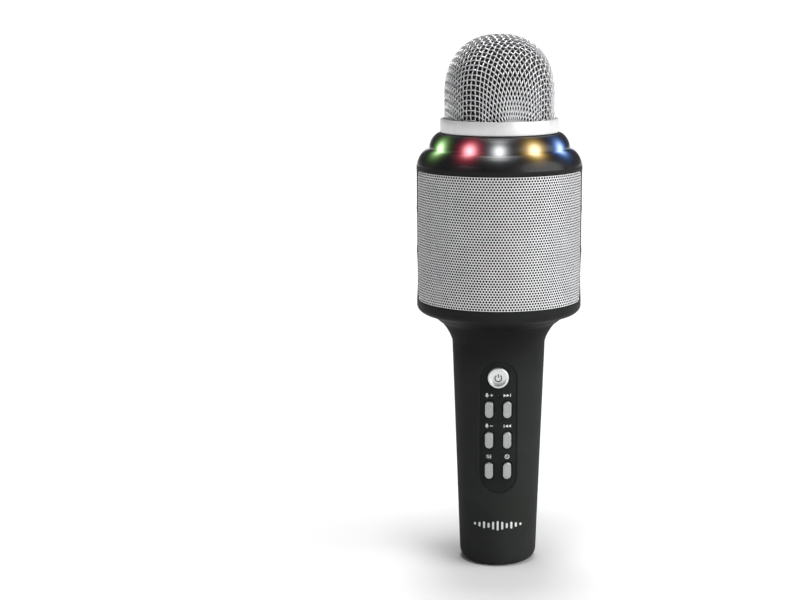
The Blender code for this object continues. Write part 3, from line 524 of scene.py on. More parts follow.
def handle_profile():
    """The handle's side as (radius, height), from the foot's edge to the flare's top."""
    side = handle_radius(FOOT_ROUNDING)
    radii = (side - FOOT_FLAT_RADIUS, FOOT_ROUNDING)
    foot = superellipse((FOOT_FLAT_RADIUS, FOOT_ROUNDING), radii, 1.0, -90, 0, 14)
    low = handle_radius(FLARE_BOTTOM)
    flare = []
    for i in range(1, 22):
        angle = math.radians(90.0 * i / 21)
        inward = (FLARE_RADIUS - low) * math.cos(angle) ** FLARE_POWER
        upward = (FLARE_TOP - FLARE_BOTTOM) * math.sin(angle) ** FLARE_POWER
        flare.append((FLARE_RADIUS - inward, FLARE_BOTTOM + upward))
    straight = [FOOT_ROUNDING + (FLARE_BOTTOM - FOOT_ROUNDING) * i / 34 for i in range(1, 35)]
    return foot + [(handle_radius(z), z) for z in straight] + flare


PROFILE = handle_profile()
PROFILE_WAYS = [0.0]
for (r0, z0), (r1, z1) in zip(PROFILE, PROFILE[1:]):
    PROFILE_WAYS.append(PROFILE_WAYS[-1] + math.hypot(r1 - r0, z1 - z0))


def side_radius(height):
    """The handle's radius at a height, read off its profile."""
    for (r0, z0), (r1, z1) in zip(PROFILE, PROFILE[1:]):
        if z0 <= height <= z1:
            return r0 + (r1 - r0) * (height - z0) / (z1 - z0) if z1 > z0 else r0
    return PROFILE[-1][0]


def on_handle(x, z, depth, side=-1):
    """The point at (x, z) of the front (side -1) or rear, depth below the surface."""
    radius = side_radius(z) - depth
    return Vector((x, side * math.sqrt(max(0.0, radius**2 - x**2)), z))


def way_up(height):
    """The length along the handle's profile up to a height."""
    for (_, z0), (_, z1), w0, w1 in zip(PROFILE, PROFILE[1:], PROFILE_WAYS, PROFILE_WAYS[1:]):
        if z0 <= height <= z1 and z1 > z0:
            return w0 + (w1 - w0) * (height - z0) / (z1 - z0)
    return PROFILE_WAYS[-1]


SEAM_ANGLE = math.radians(0.35)
HANDLE_COLUMNS = 72
ROLL_RADIUS = 20.0 * MM
CLEARANCE = 0.45 * MM
# Edges that turn in: how far inwards, the share of the way to the seam's plane, and how far up.
SEAM_STEPS = ((0.12, 0.3, 0.0), (0.32, 0.6, 0.0), (0.6, 0.9, 0.0), (1.3, 1.0, 0.0))
FOOT_STEPS = ((0.9, 0.0, 0.0), (1.2, 0.0, 0.3), (1.2, 0.0, 2.0))
TOP_STEPS = ((0.5, 0.0, 0.02), (1.3, 0.0, 0.02))


def near_hole(spot, outline):
    """True if a flat point is inside an outline or close to one of its points."""
    xs = [point.x for point in outline]
    ys = [point.y for point in outline]
    if not min(xs) - CLEARANCE < spot.x < max(xs) + CLEARANCE:
        return False
    if not min(ys) - CLEARANCE < spot.y < max(ys) + CLEARANCE:
        return False
    return within(spot, outline) or min((spot - point).length for point in outline) < CLEARANCE


def tucked(point, inward, share, up):
    """An edge point moved inwards and up, and part of the way to the seam's plane."""
    out = Vector((point.x, point.y, 0.0)).normalized()
    moved = point - out * inward * MM + Vector((0.0, 0.0, up * MM))
    moved.y *= 1.0 - share
    return moved


def handle_half(name, side, holes):
    """Half of the handle's skin, with rolled-in seam edges and openings.

    A hole is a list of rings, each (outline, depth), from the widest one on the surface inwards.
    """
    flat, where, loops, edges, outlines = [], [], [], [], []
    for rings in holes:
        surface = rings[0][0]
        turns = [math.asin(x / side_radius(z)) * ROLL_RADIUS for x, z in surface]
        outlines.append([Vector((turn, way_up(z))) for turn, (_, z) in zip(turns, surface)])
        loop, ring_edges = numbered(flat, outlines[-1])
        loops.append(loop)
        edges += ring_edges
        where += [on_handle(x, z, 0.0, side) for x, z in surface]
    limit = math.pi / 2 - SEAM_ANGLE
    left, right, top, bottom = [], [], [], []
    for j, ((radius, z), way) in enumerate(zip(PROFILE, PROFILE_WAYS)):
        ends = ((bottom, j == 0), (top, j == len(PROFILE) - 1))
        for i in range(HANDLE_COLUMNS + 1):
            angle = -limit + 2 * limit * i / HANDLE_COLUMNS
            spot = Vector((angle * ROLL_RADIUS, way))
            if any(near_hole(spot, outline) for outline in outlines):
                continue
            for border, wanted in ((left, i == 0), (right, i == HANDLE_COLUMNS), *ends):
                if wanted:
                    border.append(len(flat))
            flat.append(spot)
            where.append(Vector((radius * math.sin(angle), side * radius * math.cos(angle), z)))
    sheet = Sheet()
    sheet.points = [tuple(point) for point in where]
    sheet.faces = skin_faces(flat, edges, loops)
    for loop, rings in zip(loops, holes):
        rows = [[on_handle(x, z, depth, side) for x, z in outline] for outline, depth in rings[1:]]
        sheet.chain(loop, rows)
    borders = ((left, SEAM_STEPS), (right, SEAM_STEPS), (bottom, FOOT_STEPS), (top, TOP_STEPS))
    for border, steps in borders:
        rows = [[tucked(where[index], *step) for index in border] for step in steps]
        sheet.chain(border, rows, closed=False)
    return sheet.build(name, HANDLE_BLACK, 40.0)


def panel_ring(offset):
    return stadium_ring(PANEL_CENTRE, PANEL_HALF_WIDTH + offset * MM, PANEL_HALF_LENGTH + offset * MM, 40, 60)


def screw_ring(x, z, radius, steps=40):
    turns = [math.tau * i / steps for i in range(steps)]
    return [((x + radius * math.cos(t)) * MM, (z + radius * math.sin(t)) * MM) for t in turns]


SCREWS = ((-8.5, 14.0), (8.5, 14.0), (-9.5, 111.0), (9.5, 111.0))
SCREW_SEAT = 9.4 * MM
# Rings of an opening's edge: the growth or radius, and the depth below the surface.
WINDOW_RINGS = ((1.15, 0.0), (0.85, 0.05), (0.6, 0.17), (0.42, 0.36), (0.33, 0.58), (0.3, 0.8), (0.3, 1.7))
RECESS_RINGS = ((3.1, 0.0), (2.85, 0.06), (2.68, 0.22), (2.6, 0.5), (2.6, 3.5))
WELL_STEPS = ((2.6, 13.5 * MM), (2.6, SCREW_SEAT), (1.5, SCREW_SEAT), (1.45, SCREW_SEAT - MM))

window = [(panel_ring(grow), depth * MM) for grow, depth in WINDOW_RINGS]
recesses = []
for x, z in SCREWS:
    recesses.append([(screw_ring(x, z, radius), depth * MM) for radius, depth in RECESS_RINGS])
placed(handle_half("handle_front_skin", -1, [window]), "body", "handle_front")
placed(handle_half("handle_rear_skin", 1, recesses), "body", "handle_rear")
for number, (x, z) in enumerate(SCREWS, start=1):
    sheet = Sheet()
    sheet.chain(None, [[(px, y, pz) for px, pz in screw_ring(x, z, radius)] for radius, y in WELL_STEPS])
    placed(sheet.build(f"screw_well_{number}", HANDLE_BLACK), "body")

# ---------------------------------------------------------------- control panel

PILL_COLUMN = 4.25 * MM
PILL_HEIGHTS = (77.6 * MM, 62.8 * MM, 47.9 * MM)
PILL_HALF = (1.95 * MM, 4.1 * MM)
PILL_STEPS = (16, 10)
POWER_PLACE = (0.0, 92.9 * MM)
POWER_RADIUS = 4.9 * MM
STATUS_PLACE = (0.0, 84.3 * MM)
STATUS_RADIUS = 0.75 * MM
PANEL_GRID = 1.0 * MM
PANEL_CLEARANCE = 0.4 * MM
PANEL_COLUMNS = 9
PANEL_ROWS = 64
EDGE_RINGS = ((0.62, 0.0), (0.45, 0.05), (0.34, 0.16), (0.3, 0.32), (0.3, 1.2))
KEYS = (
    ("mic_up_button", -1, 0),
    ("mic_down_button", -1, 1),
    ("mode_button", -1, 2),
    ("next_button", 1, 0),
    ("previous_button", 1, 1),
    ("voice_off_button", 1, 2),
)


def circle_ring(centre, radius, steps=48):
    turns = [math.tau * i / steps for i in range(steps)]
    return [(centre[0] + radius * math.cos(t), centre[1] + radius * math.sin(t)) for t in turns]


def make_panel():
    """The recessed plate, with a softened rim and an eased edge round each key."""
    rims = []
    for grow, depth in EDGE_RINGS:
        grow *= MM
        rings = [circle_ring(POWER_PLACE, POWER_RADIUS + grow)]
        for _, side, number in KEYS:
            centre = (side * PILL_COLUMN, PILL_HEIGHTS[number])
            rings.append(stadium_ring(centre, PILL_HALF[0] + grow, PILL_HALF[1] + grow, *PILL_STEPS))
        rings.append(circle_ring(STATUS_PLACE, STATUS_RADIUS + grow * 0.8, 24))
        rims.append((rings, PANEL_RECESS + depth * MM))
    flat, loops, edges = [], [], []
    for ring in [panel_ring(0.24)] + rims[0][0]:
        loop, ring_edges = numbered(flat, ring)
        loops.append(loop)
        edges += ring_edges
    field = [Vector(point) for point in panel_ring(-0.9)]
    openings = [[Vector(point) for point in ring] for ring in rims[0][0]]
    for i in range(-PANEL_COLUMNS, PANEL_COLUMNS + 1):
        for j in range(PANEL_ROWS):
            spot = Vector((i * PANEL_GRID, PANEL_BOTTOM + j * PANEL_GRID))
            if not within(spot, field) or any(within(spot, opening) for opening in openings):
                continue
            if any(min((spot - flat[k]).length for k in loop) < PANEL_CLEARANCE for loop in loops):
                continue
            flat.append(spot)
    sheet = Sheet()
    sheet.points = [tuple(on_handle(x, z, PANEL_RECESS)) for x, z in flat]
    sheet.faces = skin_faces(flat, edges, loops[1:])
    depths = [PANEL_RECESS + depth * MM for depth in (0.04, 0.9)]
    sheet.chain(loops[0], [[on_handle(x, z, depth) for x, z in panel_ring(0.27)] for depth in depths])
    for number, loop in enumerate(loops[1:]):
        rows = [[on_handle(x, z, depth) for x, z in rings[number]] for rings, depth in rims[1:]]
        sheet.chain(loop, rows)
    placed(sheet.build("panel_face", PANEL_BLACK, 50.0), "body", "button_panel")


def key_cap(node, rings, outline, looks, hub=None):
    """A key from rings, each (inset, depth below the surface), closed flat or by a hub point."""
    sheet = Sheet()
    rows = [[on_handle(x, z, depth * MM) for x, z in outline(inset * MM)] for inset, depth in rings]
    last = sheet.chain(None, rows)
    if hub is None:
        sheet.faces.append(tuple(last))
    else:
        middle = sheet.add(hub)
        sheet.faces += [(last[i], last[(i + 1) % len(last)], middle) for i in range(len(last))]
    placed(sheet.build(node + "_cap", looks, 50.0), node, node)


def pill_outline(centre):
    """The outline of the pill-shaped key at a centre, for any inset."""

    def outline(inset):
        return stadium_ring(centre, PILL_HALF[0] - inset, PILL_HALF[1] - inset, *PILL_STEPS)

    return outline


def power_outline(inset):
    return circle_ring(POWER_PLACE, POWER_RADIUS - inset, 64)


PILL_RINGS = ((0.0, 2.2), (0.0, 0.2), (0.04, 0.0), (0.14, -0.15), (0.32, -0.26), (0.6, -0.3))
PILL_RINGS += ((1.0, -0.28), (1.5, -0.25))
POWER_RINGS = ((0.0, 2.2), (0.0, 0.0), (0.05, -0.2), (0.16, -0.36), (0.34, -0.46), (0.55, -0.5))
POWER_RINGS += ((0.85, -0.5), (1.05, -0.46), (1.2, -0.36), (1.35, -0.24), (1.7, -0.12), (2.2, 0.0))
POWER_RINGS += ((2.8, 0.1), (3.5, 0.17), (4.2, 0.21))

make_panel()
for node, side, number in KEYS:
    centre = (side * PILL_COLUMN, PILL_HEIGHTS[number])
    key_cap(node, PILL_RINGS, pill_outline(centre), KEY_SILVER)
power_hub = on_handle(*POWER_PLACE, 0.22 * MM)
key_cap("power_button", POWER_RINGS, power_outline, POWER_SILVER, power_hub)

PRINT_THICKNESS = 0.05 * MM


def printed(name, outlines, depth, looks, body):
    """Thin printed marks: closed (x, z) outlines laid on the handle's front."""
    sheet = Sheet()
    for outline in outlines:
        rows = [[on_handle(x, z, below) for x, z in outline] for below in (depth + PRINT_THICKNESS, depth)]
        top = sheet.chain(None, rows)
        sheet.faces.append(tuple(top))
    placed(sheet.build(name, looks), body)


def bar(x0, z0, x1, z1):
    return mm((x0, z0), (x1, z0), (x1, z1), (x0, z1))


def arc_band(centre, inner, outer, start, end, steps=24):
    """A flat band along an arc, as one outline."""
    outline = []
    for radius, order in ((outer, range(steps + 1)), (inner, range(steps, -1, -1))):
        for i in order:
            angle = math.radians(start + (end - start) * i / steps)
            outline.append((centre[0] + radius * math.cos(angle), centre[1] + radius * math.sin(angle)))
    return mm(*outline)


def band_pieces(centre, inner, outer, start, end, pieces=10):
    """The band cut into convex quads, so that each lies flat on the curved face."""
    turn = (end - start) / pieces
    starts = [start + i * turn for i in range(pieces)]
    return [arc_band(centre, inner, outer, first, first + turn, 2) for first in starts]


def mic_symbol(x, z, sign):
    """A small microphone with a plus or a minus."""
    marks = [stadium_ring(((x - 0.75) * MM, (z + 0.2) * MM), 0.34 * MM, 0.62 * MM, 6, 2)]
    marks += band_pieces((x - 0.75, z + 0.1), 0.5, 0.68, 180, 360, 6)
    marks.append(bar(x - 0.84, z - 0.85, x - 0.66, z - 0.52))
    marks.append(bar(x + 0.35, z - 0.1, x + 1.45, z + 0.14))
    if sign > 0:
        marks.append(bar(x + 0.78, z + 0.14, x + 1.02, z + 0.57))
        marks.append(bar(x + 0.78, z - 0.53, x + 1.02, z - 0.1))
    return marks


def skip_symbol(x, z, way):
    """Two arrowheads against a bar."""
    outlines = [[(start, -0.55), (start + 1.0, 0.0), (start, 0.55)] for start in (-1.35, -0.25)]
    outlines.append([(1.0, -0.58), (1.24, -0.58), (1.24, 0.58), (1.0, 0.58)])
    return [mm(*[(x + way * px, z + pz) for px, pz in outline]) for outline in outlines]


def mode_symbol(x, z):
    """Three sliders, for the mode key."""
    marks = []
    for i, knob in ((-1, 0.25), (0, -0.3), (1, 0.1)):
        across = x + 0.62 * i
        marks.append(bar(across - 0.09, z - 0.75, across + 0.09, z + 0.75))
        marks.append(bar(across - 0.25, z + knob - 0.15, across + 0.25, z + knob + 0.15))
    return marks


def voice_symbol(x, z):
    """A struck-out circle, for the key that takes the voice out."""
    marks = band_pieces((x, z), 0.62, 0.84, 0, 360, 20)
    half = 0.12
    outline = [(-0.55, 0.55 - half), (-0.55 + half, 0.55), (0.55, -0.55 + half), (0.55 - half, -0.55)]
    marks.append(mm(*[(x + px, z + pz) for px, pz in outline]))
    return marks


def enlarged(marks, x, z, growth=1.3):
    """The same outlines, grown about a centre in millimetres."""
    x, z = x * MM, z * MM
    return [[(x + (px - x) * growth, z + (pz - z) * growth) for px, pz in mark] for mark in marks]


SYMBOL_RISE = 6.8
SYMBOLS = (
    (-1, 0, mic_symbol, (1,)),
    (-1, 1, mic_symbol, (-1,)),
    (-1, 2, mode_symbol, ()),
    (1, 0, skip_symbol, (1,)),
    (1, 1, skip_symbol, (-1,)),
    (1, 2, voice_symbol, ()),
)
symbols = []
for side, number, draw, sign in SYMBOLS:
    x, z = side * PILL_COLUMN / MM, PILL_HEIGHTS[number] / MM + SYMBOL_RISE
    symbols += enlarged(draw(x, z, *sign), x, z)
printed("key_symbols", symbols, PANEL_RECESS - 0.03 * MM, PRINT_WHITE, "body")

power_height = POWER_PLACE[1] / MM
power_marks = band_pieces((0.0, power_height - 0.1), 1.3, 1.8, 125, 415, 16)
power_marks.append(bar(-0.24, power_height + 0.2, 0.24, power_height + 1.95))
printed("power_symbol", power_marks, -0.02 * MM, PRINT_DARK, "power_button")

BADGE_BARS = (1.3, 2.2, 3.4, 2.5, 3.9, 4.7, 3.9, 2.5, 3.4, 2.2, 1.3)
BADGE_PITCH = 2.15
BADGE_HEIGHT = 20.85 * MM
badge = []
for i, tall in enumerate(BADGE_BARS):
    centre = ((i - len(BADGE_BARS) // 2) * BADGE_PITCH * MM, BADGE_HEIGHT)
    badge.append(stadium_ring(centre, 0.48 * MM, tall / 2 * MM, 8, 2))
printed("foot_badge", badge, -0.03 * MM, PRINT_WHITE, "body")

# ---------------------------------------------------------------- barrel, shoulder and lens

BARREL_RADIUS = 38.5 * MM
BARREL_TOP = 190.05 * MM
WALL_BOTTOM = 126.4 * MM
WALL_TOP = BARREL_TOP - 0.45 * MM
WALL_STEPS = (WALL_BOTTOM, 127.0 * MM, 150.0 * MM, 170.0 * MM, 188.2 * MM, WALL_TOP)
BARREL_STEPS = 240
GRILLE_BOTTOM = 127.4 * MM
GRILLE_TOP = 187.8 * MM
GRILLE_HALF_ANGLE = math.radians(77.5)
GRILLE_CORNER = 3.0 * MM
OUTLINE_STEP = 1.3 * MM
WELD_DISTANCE = 0.000002
# The rings of the wall's window: the growth of its outline, and the depth below the surface.
WALL_RINGS = ((0.5, 0.05), (0.36, 0.17), (0.3, 0.35), (0.3, 1.5), (-1.5, 1.5), (-1.5, 2.4))


def barrel_profile():
    """The barrel's underside as (radius, height), from the handle out to its wall."""
    under = mm((26.5, 119.6), (26.5, 116.6), (26.6, 116.53), (27.86, 116.53))
    under += mm(*[(27.86 + 4.54 * t / 6, 116.53 + 3.67 * t / 6) for t in range(1, 6)])
    rim = superellipse((32.4 * MM, 124.2 * MM), (6.1 * MM, 4.0 * MM), 1.0, -90, 0, 14)
    return under + rim + mm((38.5, 125.6), (38.5, 126.4))


def grille_outline(grow, steps=8):
    """A window's rounded outline as (arc length, height) points."""
    half = GRILLE_HALF_ANGLE * BARREL_RADIUS + grow
    low, high = GRILLE_BOTTOM - grow, GRILLE_TOP + grow
    corner = GRILLE_CORNER + grow
    outline = []
    corners = ((half - corner, high - corner, 0), (-half + corner, high - corner, 90))
    corners += ((-half + corner, low + corner, 180), (half - corner, low + corner, 270))
    for number, (s, z, first) in enumerate(corners):
        arc = []
        for i in range(steps + 1):
            angle = math.radians(first + 90.0 * i / steps)
            arc.append((s + corner * math.cos(angle), z + corner * math.sin(angle)))
        outline += arc
        following = corners[(number + 1) % 4]
        angle = math.radians(first + 90.0)
        end = (following[0] + corner * math.cos(angle), following[1] + corner * math.sin(angle))
        count = round(math.dist(arc[-1], end) / OUTLINE_STEP)
        for i in range(1, count):
            t = i / count
            outline.append((arc[-1][0] * (1 - t) + end[0] * t, arc[-1][1] * (1 - t) + end[1] * t))
    return outline


def on_barrel(s, z, radius):
    """The point at an arc length and a height, on a cylinder of a radius."""
    angle = s / BARREL_RADIUS
    return Vector((radius * math.sin(angle), -radius * math.cos(angle), z))


def make_barrel():
    """The barrel's skin: a wall with an eased window, on a turned underside."""
    opening = grille_outline(0.75 * MM)
    half_turn = math.pi * BARREL_RADIUS
    flat = []
    loop, edges = numbered(flat, opening)
    for z in WALL_STEPS:
        for i in range(BARREL_STEPS + 1):
            spot = Vector((-half_turn + 2 * half_turn * i / BARREL_STEPS, z))
            if not within(spot, flat[: len(loop)]):
                flat.append(spot)
    sheet = Sheet()
    sheet.points = [tuple(on_barrel(s, z, BARREL_RADIUS)) for s, z in flat]
    sheet.faces = skin_faces(flat, edges, [loop])
    rows = []
    for grow, depth in WALL_RINGS:
        ring = grille_outline(grow * MM)
        if len(ring) != len(opening):
            ring = matched(ring, len(opening))
        rows.append([on_barrel(s, z, BARREL_RADIUS - depth * MM) for s, z in ring])
    sheet.chain(loop, rows)
    wall = sheet.build("barrel_wall", BARREL_BLACK, 40.0)
    bm = bmesh.new()
    bm.from_mesh(wall.data)
    bmesh.ops.remove_doubles(bm, verts=bm.verts, dist=WELD_DISTANCE)
    bm.to_mesh(wall.data)
    bm.free()
    top = [(BARREL_RADIUS, WALL_TOP), *mm((38.485, 189.8), (38.45, 189.95))]
    top += [(38.39 * MM, BARREL_TOP), (36.3 * MM, BARREL_TOP)]
    placed(wall, "body", "barrel_shell")
    placed(turned("barrel_lip", top, BARREL_BLACK, BARREL_STEPS), "body")
    under = turned("barrel_underside", barrel_profile(), BARREL_BLACK, BARREL_STEPS)
    placed(under, "body")


def matched(ring, count):
    """A closed outline with another number of points, evenly spread by length."""
    lengths = [0.0]
    closed = ring + ring[:1]
    for a, b in zip(closed, closed[1:]):
        lengths.append(lengths[-1] + math.dist(a, b))
    result = []
    k = 0
    for i in range(count):
        wanted = lengths[-1] * i / count
        while lengths[k + 1] < wanted:
            k += 1
        t = (wanted - lengths[k]) / (lengths[k + 1] - lengths[k])
        result.append(tuple(p * (1 - t) + q * t for p, q in zip(closed[k], closed[k + 1])))
    return result


HOLE_PITCH = 1.38 * MM
HOLE_ROW = 1.18 * MM
HOLE_RADIUS = 0.525 * MM
HOLE_SIDES = 10
GRILLE_RADIUS = 38.35 * MM
HOLE_DEPTH = 0.55 * MM


def make_grille():
    """The perforated sheet: every hole is a real opening with its own wall."""
    outline = grille_outline(0.0)
    flat = []
    border, edges = numbered(flat, outline)
    field = [Vector(point) for point in grille_outline(-0.66 * MM)]
    holes = []
    rows = int((GRILLE_TOP - GRILLE_BOTTOM) / HOLE_ROW) + 2
    columns = int(GRILLE_HALF_ANGLE * BARREL_RADIUS / HOLE_PITCH) + 2
    middle = (GRILLE_TOP + GRILLE_BOTTOM) / 2
    turns = [math.tau * (k + 0.5) / HOLE_SIDES for k in range(HOLE_SIDES)]
    for j in range(-rows // 2, rows // 2 + 1):
        z = middle + j * HOLE_ROW
        for i in range(-columns, columns + 1):
            s = (i + (0.5 if j % 2 else 0.0)) * HOLE_PITCH
            if not within(Vector((s, z)), field):
                continue
            ring = [(s + HOLE_RADIUS * math.cos(t), z + HOLE_RADIUS * math.sin(t)) for t in turns]
            loop, ring_edges = numbered(flat, ring)
            edges += ring_edges
            holes.append(loop)
    sheet = Sheet()
    sheet.points = [tuple(on_barrel(s, z, GRILLE_RADIUS)) for s, z in flat]
    sheet.faces = skin_faces(flat, edges, holes, 1e-10)
    for loop in holes:
        sheet.chain(loop, [[on_barrel(*flat[i], GRILLE_RADIUS - HOLE_DEPTH) for i in loop]])
    rows = []
    for grow, depth in ((0.06, 0.05), (0.09, 0.16), (0.09, 1.0)):
        ring = [(s + (grow * MM if s > 0 else -grow * MM) * 0.5, z) for s, z in outline]
        rows.append([on_barrel(s, z, GRILLE_RADIUS - depth * MM) for s, z in ring])
    sheet.chain(border, rows)
    grille = sheet.build("grille_sheet", GRILLE_SILVER, 30.0)
    # Painted shade: the small faces inside each hole take the near-black hole-wall material.
    grille.data.materials.append(HOLE_PAINTED_SHADE)
    for face in grille.data.polygons:
        reach = math.hypot(face.center.x, face.center.y)
        if reach < GRILLE_RADIUS - 0.2 * MM and face.area < 0.2 * MM * MM:
            face.material_index = 1
    placed(grille, "body", "speaker_grille")


CLOTH_MARGIN = 1.45 * MM
CLOTH_RADIUS = 36.8 * MM
CLOTH_ROWS = 20
CLOTH_COLUMNS = 80


def make_cloth():
    """The dust cloth stretched behind the grille."""
    half = (GRILLE_HALF_ANGLE * BARREL_RADIUS - CLOTH_MARGIN) / BARREL_RADIUS
    low, high = GRILLE_BOTTOM + CLOTH_MARGIN, GRILLE_TOP - CLOTH_MARGIN
    angles = [-half + 2 * half * i / CLOTH_COLUMNS for i in range(CLOTH_COLUMNS + 1)]
    sheet = Sheet()
    rows = []
    for j in range(CLOTH_ROWS + 1):
        z = low + (high - low) * j / CLOTH_ROWS
        rows.append([(CLOTH_RADIUS * math.sin(a), -CLOTH_RADIUS * math.cos(a), z) for a in angles])
    sheet.chain(None, rows, closed=False)
    cloth = sheet.build("grille_dust_cloth", CLOTH_BLACK)
    placed(cloth, "body", "grille_cloth")


def make_shoulder():
    """The gloss ring between barrel and lens."""
    shoulder = superellipse((32.15 * MM, 188.7 * MM), (6.35 * MM, 9.0 * MM), 1.1, 0, 90, 40)
    side = [(r, z) for r, z in shoulder if z > BARREL_TOP]
    foot = mm((36.4, 189.9), (38.39, 189.9))
    crest = mm((31.6, 197.72), (30.9, 197.72), (30.9, 196.5))
    piece = turned("shoulder_skin", foot + side + crest, SHOULDER_BLACK)
    placed(piece, "body", "shoulder_ring")


def make_lens():
    """The smoked ring over the lights."""
    outer = superellipse((28.15 * MM, 198.5 * MM), (4.65 * MM, 6.25 * MM), 1.3, 0, 90, 40)
    low = mm((31.5, 197.77), (32.72, 197.77), (32.8, 197.85))
    crest = mm((24.6, 204.75), (24.3, 204.6), (24.2, 204.3), (24.2, 203.2))
    piece = turned("lens_skin", low + outer + crest, LENS_BLACK)
    placed(piece, "body", "light_lens")


make_barrel()
make_grille()
make_cloth()
make_shoulder()
make_lens()

# ---------------------------------------------------------------- head


def make_collar():
    """The bright metal ring under the basket."""
    profile = mm((26.15, 207.4), (26.15, 211.2), (26.3, 211.5), (26.7, 211.5), (27.05, 211.45))
    profile += mm((27.3, 211.3), (27.4, 211.0), (27.4, 205.7), (27.3, 205.35), (27.05, 205.15))
    profile += mm((21.2, 205.15), (21.0, 205.35), (21.0, 209.6), (23.9, 209.6), (23.9, 207.4))
    collar = turned("collar_skin", profile, COLLAR_SILVER, closed=True)
    placed(collar, "head", "head_collar")


SPRING_LINE = 222.0 * MM
DOME_POWER = 2.3
DOME_STEPS = 400


class Dome:
    """A dome with straight lower sides, measured by the way down from its pole."""

    def __init__(self, radius, top, bottom):
        points = []
        for i in range(DOME_STEPS + 1):
            angle = math.radians(90 - 90 * i / DOME_STEPS)
            across = math.cos(angle) ** (2 / DOME_POWER) if i else 0.0
            up = math.sin(angle) ** (2 / DOME_POWER) if i < DOME_STEPS else 0.0
            points.append((radius * across, SPRING_LINE + (top - SPRING_LINE) * up))
        points.append((radius, bottom))
        self.points = points
        self.ways = [0.0]
        for a, b in zip(points, points[1:]):
            self.ways.append(self.ways[-1] + math.dist(a, b))

    def at(self, way):
        """Radius and height, and the outward slope, at a way down from the pole."""
        way = min(max(way, 0.0), self.ways[-1])
        low, high = 0, len(self.ways) - 1
        while high - low > 1:
            half = (low + high) // 2
            if self.ways[half] <= way:
                low = half
            else:
                high = half
        t = (way - self.ways[low]) / (self.ways[high] - self.ways[low])
        (r0, z0), (r1, z1) = self.points[low], self.points[high]
        slope = Vector((z0 - z1, r1 - r0)).normalized()
        return r0 + (r1 - r0) * t, z0 + (z1 - z0) * t, slope

    def point(self, way, azimuth):
        radius, height, _ = self.at(abs(way))
        return Vector((radius * math.sin(azimuth), -radius * math.cos(azimuth), height))

    def normal(self, spot):
        azimuth = math.atan2(spot.x, -spot.y)
        _, _, slope = self.at(self.way_of(spot))
        return Vector((slope.x * math.sin(azimuth), -slope.x * math.cos(azimuth), slope.y))

    def way_of(self, spot):
        radius, height = math.hypot(spot.x, spot.y), spot.z
        if height <= SPRING_LINE:
            return self.ways[-2] + SPRING_LINE - height
        low, high = 0.0, self.ways[-2]
        for _ in range(24):
            half = (low + high) / 2
            r, z, slope = self.at(half)
            if (radius - r) * slope.y - (height - z) * slope.x > 0:
                low = half
            else:
                high = half
        return (low + high) / 2


MESH_DOME = Dome(25.0 * MM, 249.5 * MM, 196.0 * MM)
CELL = 2.28 * MM
WEAVE_AZIMUTH = math.radians(-31.0)
CELLS = 26
NET_LOW = 200.0 * MM
NET_SLACK = 0.15 * MM
NET_TOLERANCE = 1e-8
NET_NUDGE = 1e-6
TURN_NUDGE = 40 * NET_NUDGE
EASE_SPAN = math.radians(38.0)
EASE_TURN = math.radians(17.0)
EASE_HEIGHTS = (212.0 * MM, 240.0 * MM)


def eased(spot):
    """Spreads the crowded wires half way between the two weave directions."""
    low, high = EASE_HEIGHTS
    share = min(1.0, max(0.0, (high - spot.z) / (high - low)))
    off = (math.atan2(spot.x, -spot.y) - math.pi / 4) / EASE_SPAN
    if share == 0.0 or abs(off) >= 1.0:
        return spot
    turn = share * EASE_TURN * off * (1 - off**2) ** 2
    return Matrix.Rotation(turn, 3, "Z") @ spot


def draped_net():
    """Where the wires cross: a square net drawn over the dome without stretching."""
    quarter = {(0, 0): MESH_DOME.point(0.0, 0.0)}
    ways = {(0, 0): (0.0, 0.0)}
    for i in range(1, CELLS + 1):
        for key, azimuth in (((i, 0), 0.0), ((0, i), math.pi / 2)):
            ways[key] = (i * CELL, azimuth)
            quarter[key] = MESH_DOME.point(i * CELL, azimuth)
    for total in range(2, 2 * CELLS + 1):
        for i in range(1, total):
            j = total - i
            if i > CELLS or j > CELLS:
                continue
            a, b, c = quarter.get((i - 1, j)), quarter.get((i, j - 1)), quarter.get((i - 1, j - 1))
            if a is None or b is None or c is None:
                continue
            guess = a + b - c
            azimuth = math.atan2(guess.x, -guess.y)
            way = MESH_DOME.way_of(guess)
            for _ in range(12):
                spot = MESH_DOME.point(way, azimuth)
                errors = ((spot - a).length - CELL, (spot - b).length - CELL)
                if max(map(abs, errors)) < NET_TOLERANCE:
                    break
                by_way = MESH_DOME.point(way + NET_NUDGE, azimuth)
                by_turn = MESH_DOME.point(way, azimuth + TURN_NUDGE)
                m = []
                for end in (a, b):
                    base = (spot - end).length
                    down = ((by_way - end).length - base) / NET_NUDGE
                    m.append((down, ((by_turn - end).length - base) / TURN_NUDGE))
                det = m[0][0] * m[1][1] - m[0][1] * m[1][0]
                if abs(det) < 1e-12:
                    break
                way -= (errors[0] * m[1][1] - errors[1] * m[0][1]) / det
                azimuth -= (m[0][0] * errors[1] - m[1][0] * errors[0]) / det
            spot = MESH_DOME.point(way, azimuth)
            if way <= 0 or spot.z < NET_LOW or abs((spot - a).length - CELL) > NET_SLACK:
                continue
            quarter[(i, j)] = spot
    net = {}
    for turn in range(4):
        spin = Matrix.Rotation(WEAVE_AZIMUTH + turn * math.pi / 2, 3, "Z")
        for (i, j), spot in quarter.items():
            key = ((i, j), (-j, i), (-i, -j), (j, -i))[turn]
            net[key] = spin @ eased(spot)
    return net


def smooth_between(a, b, c, d, t):
    """A point between b and c on a smooth curve through four points."""
    bend = (2 * a - 5 * b + 4 * c - d) * t * t + (3 * b - a - 3 * c + d) * t**3
    return (2 * b + (c - a) * t + bend) / 2


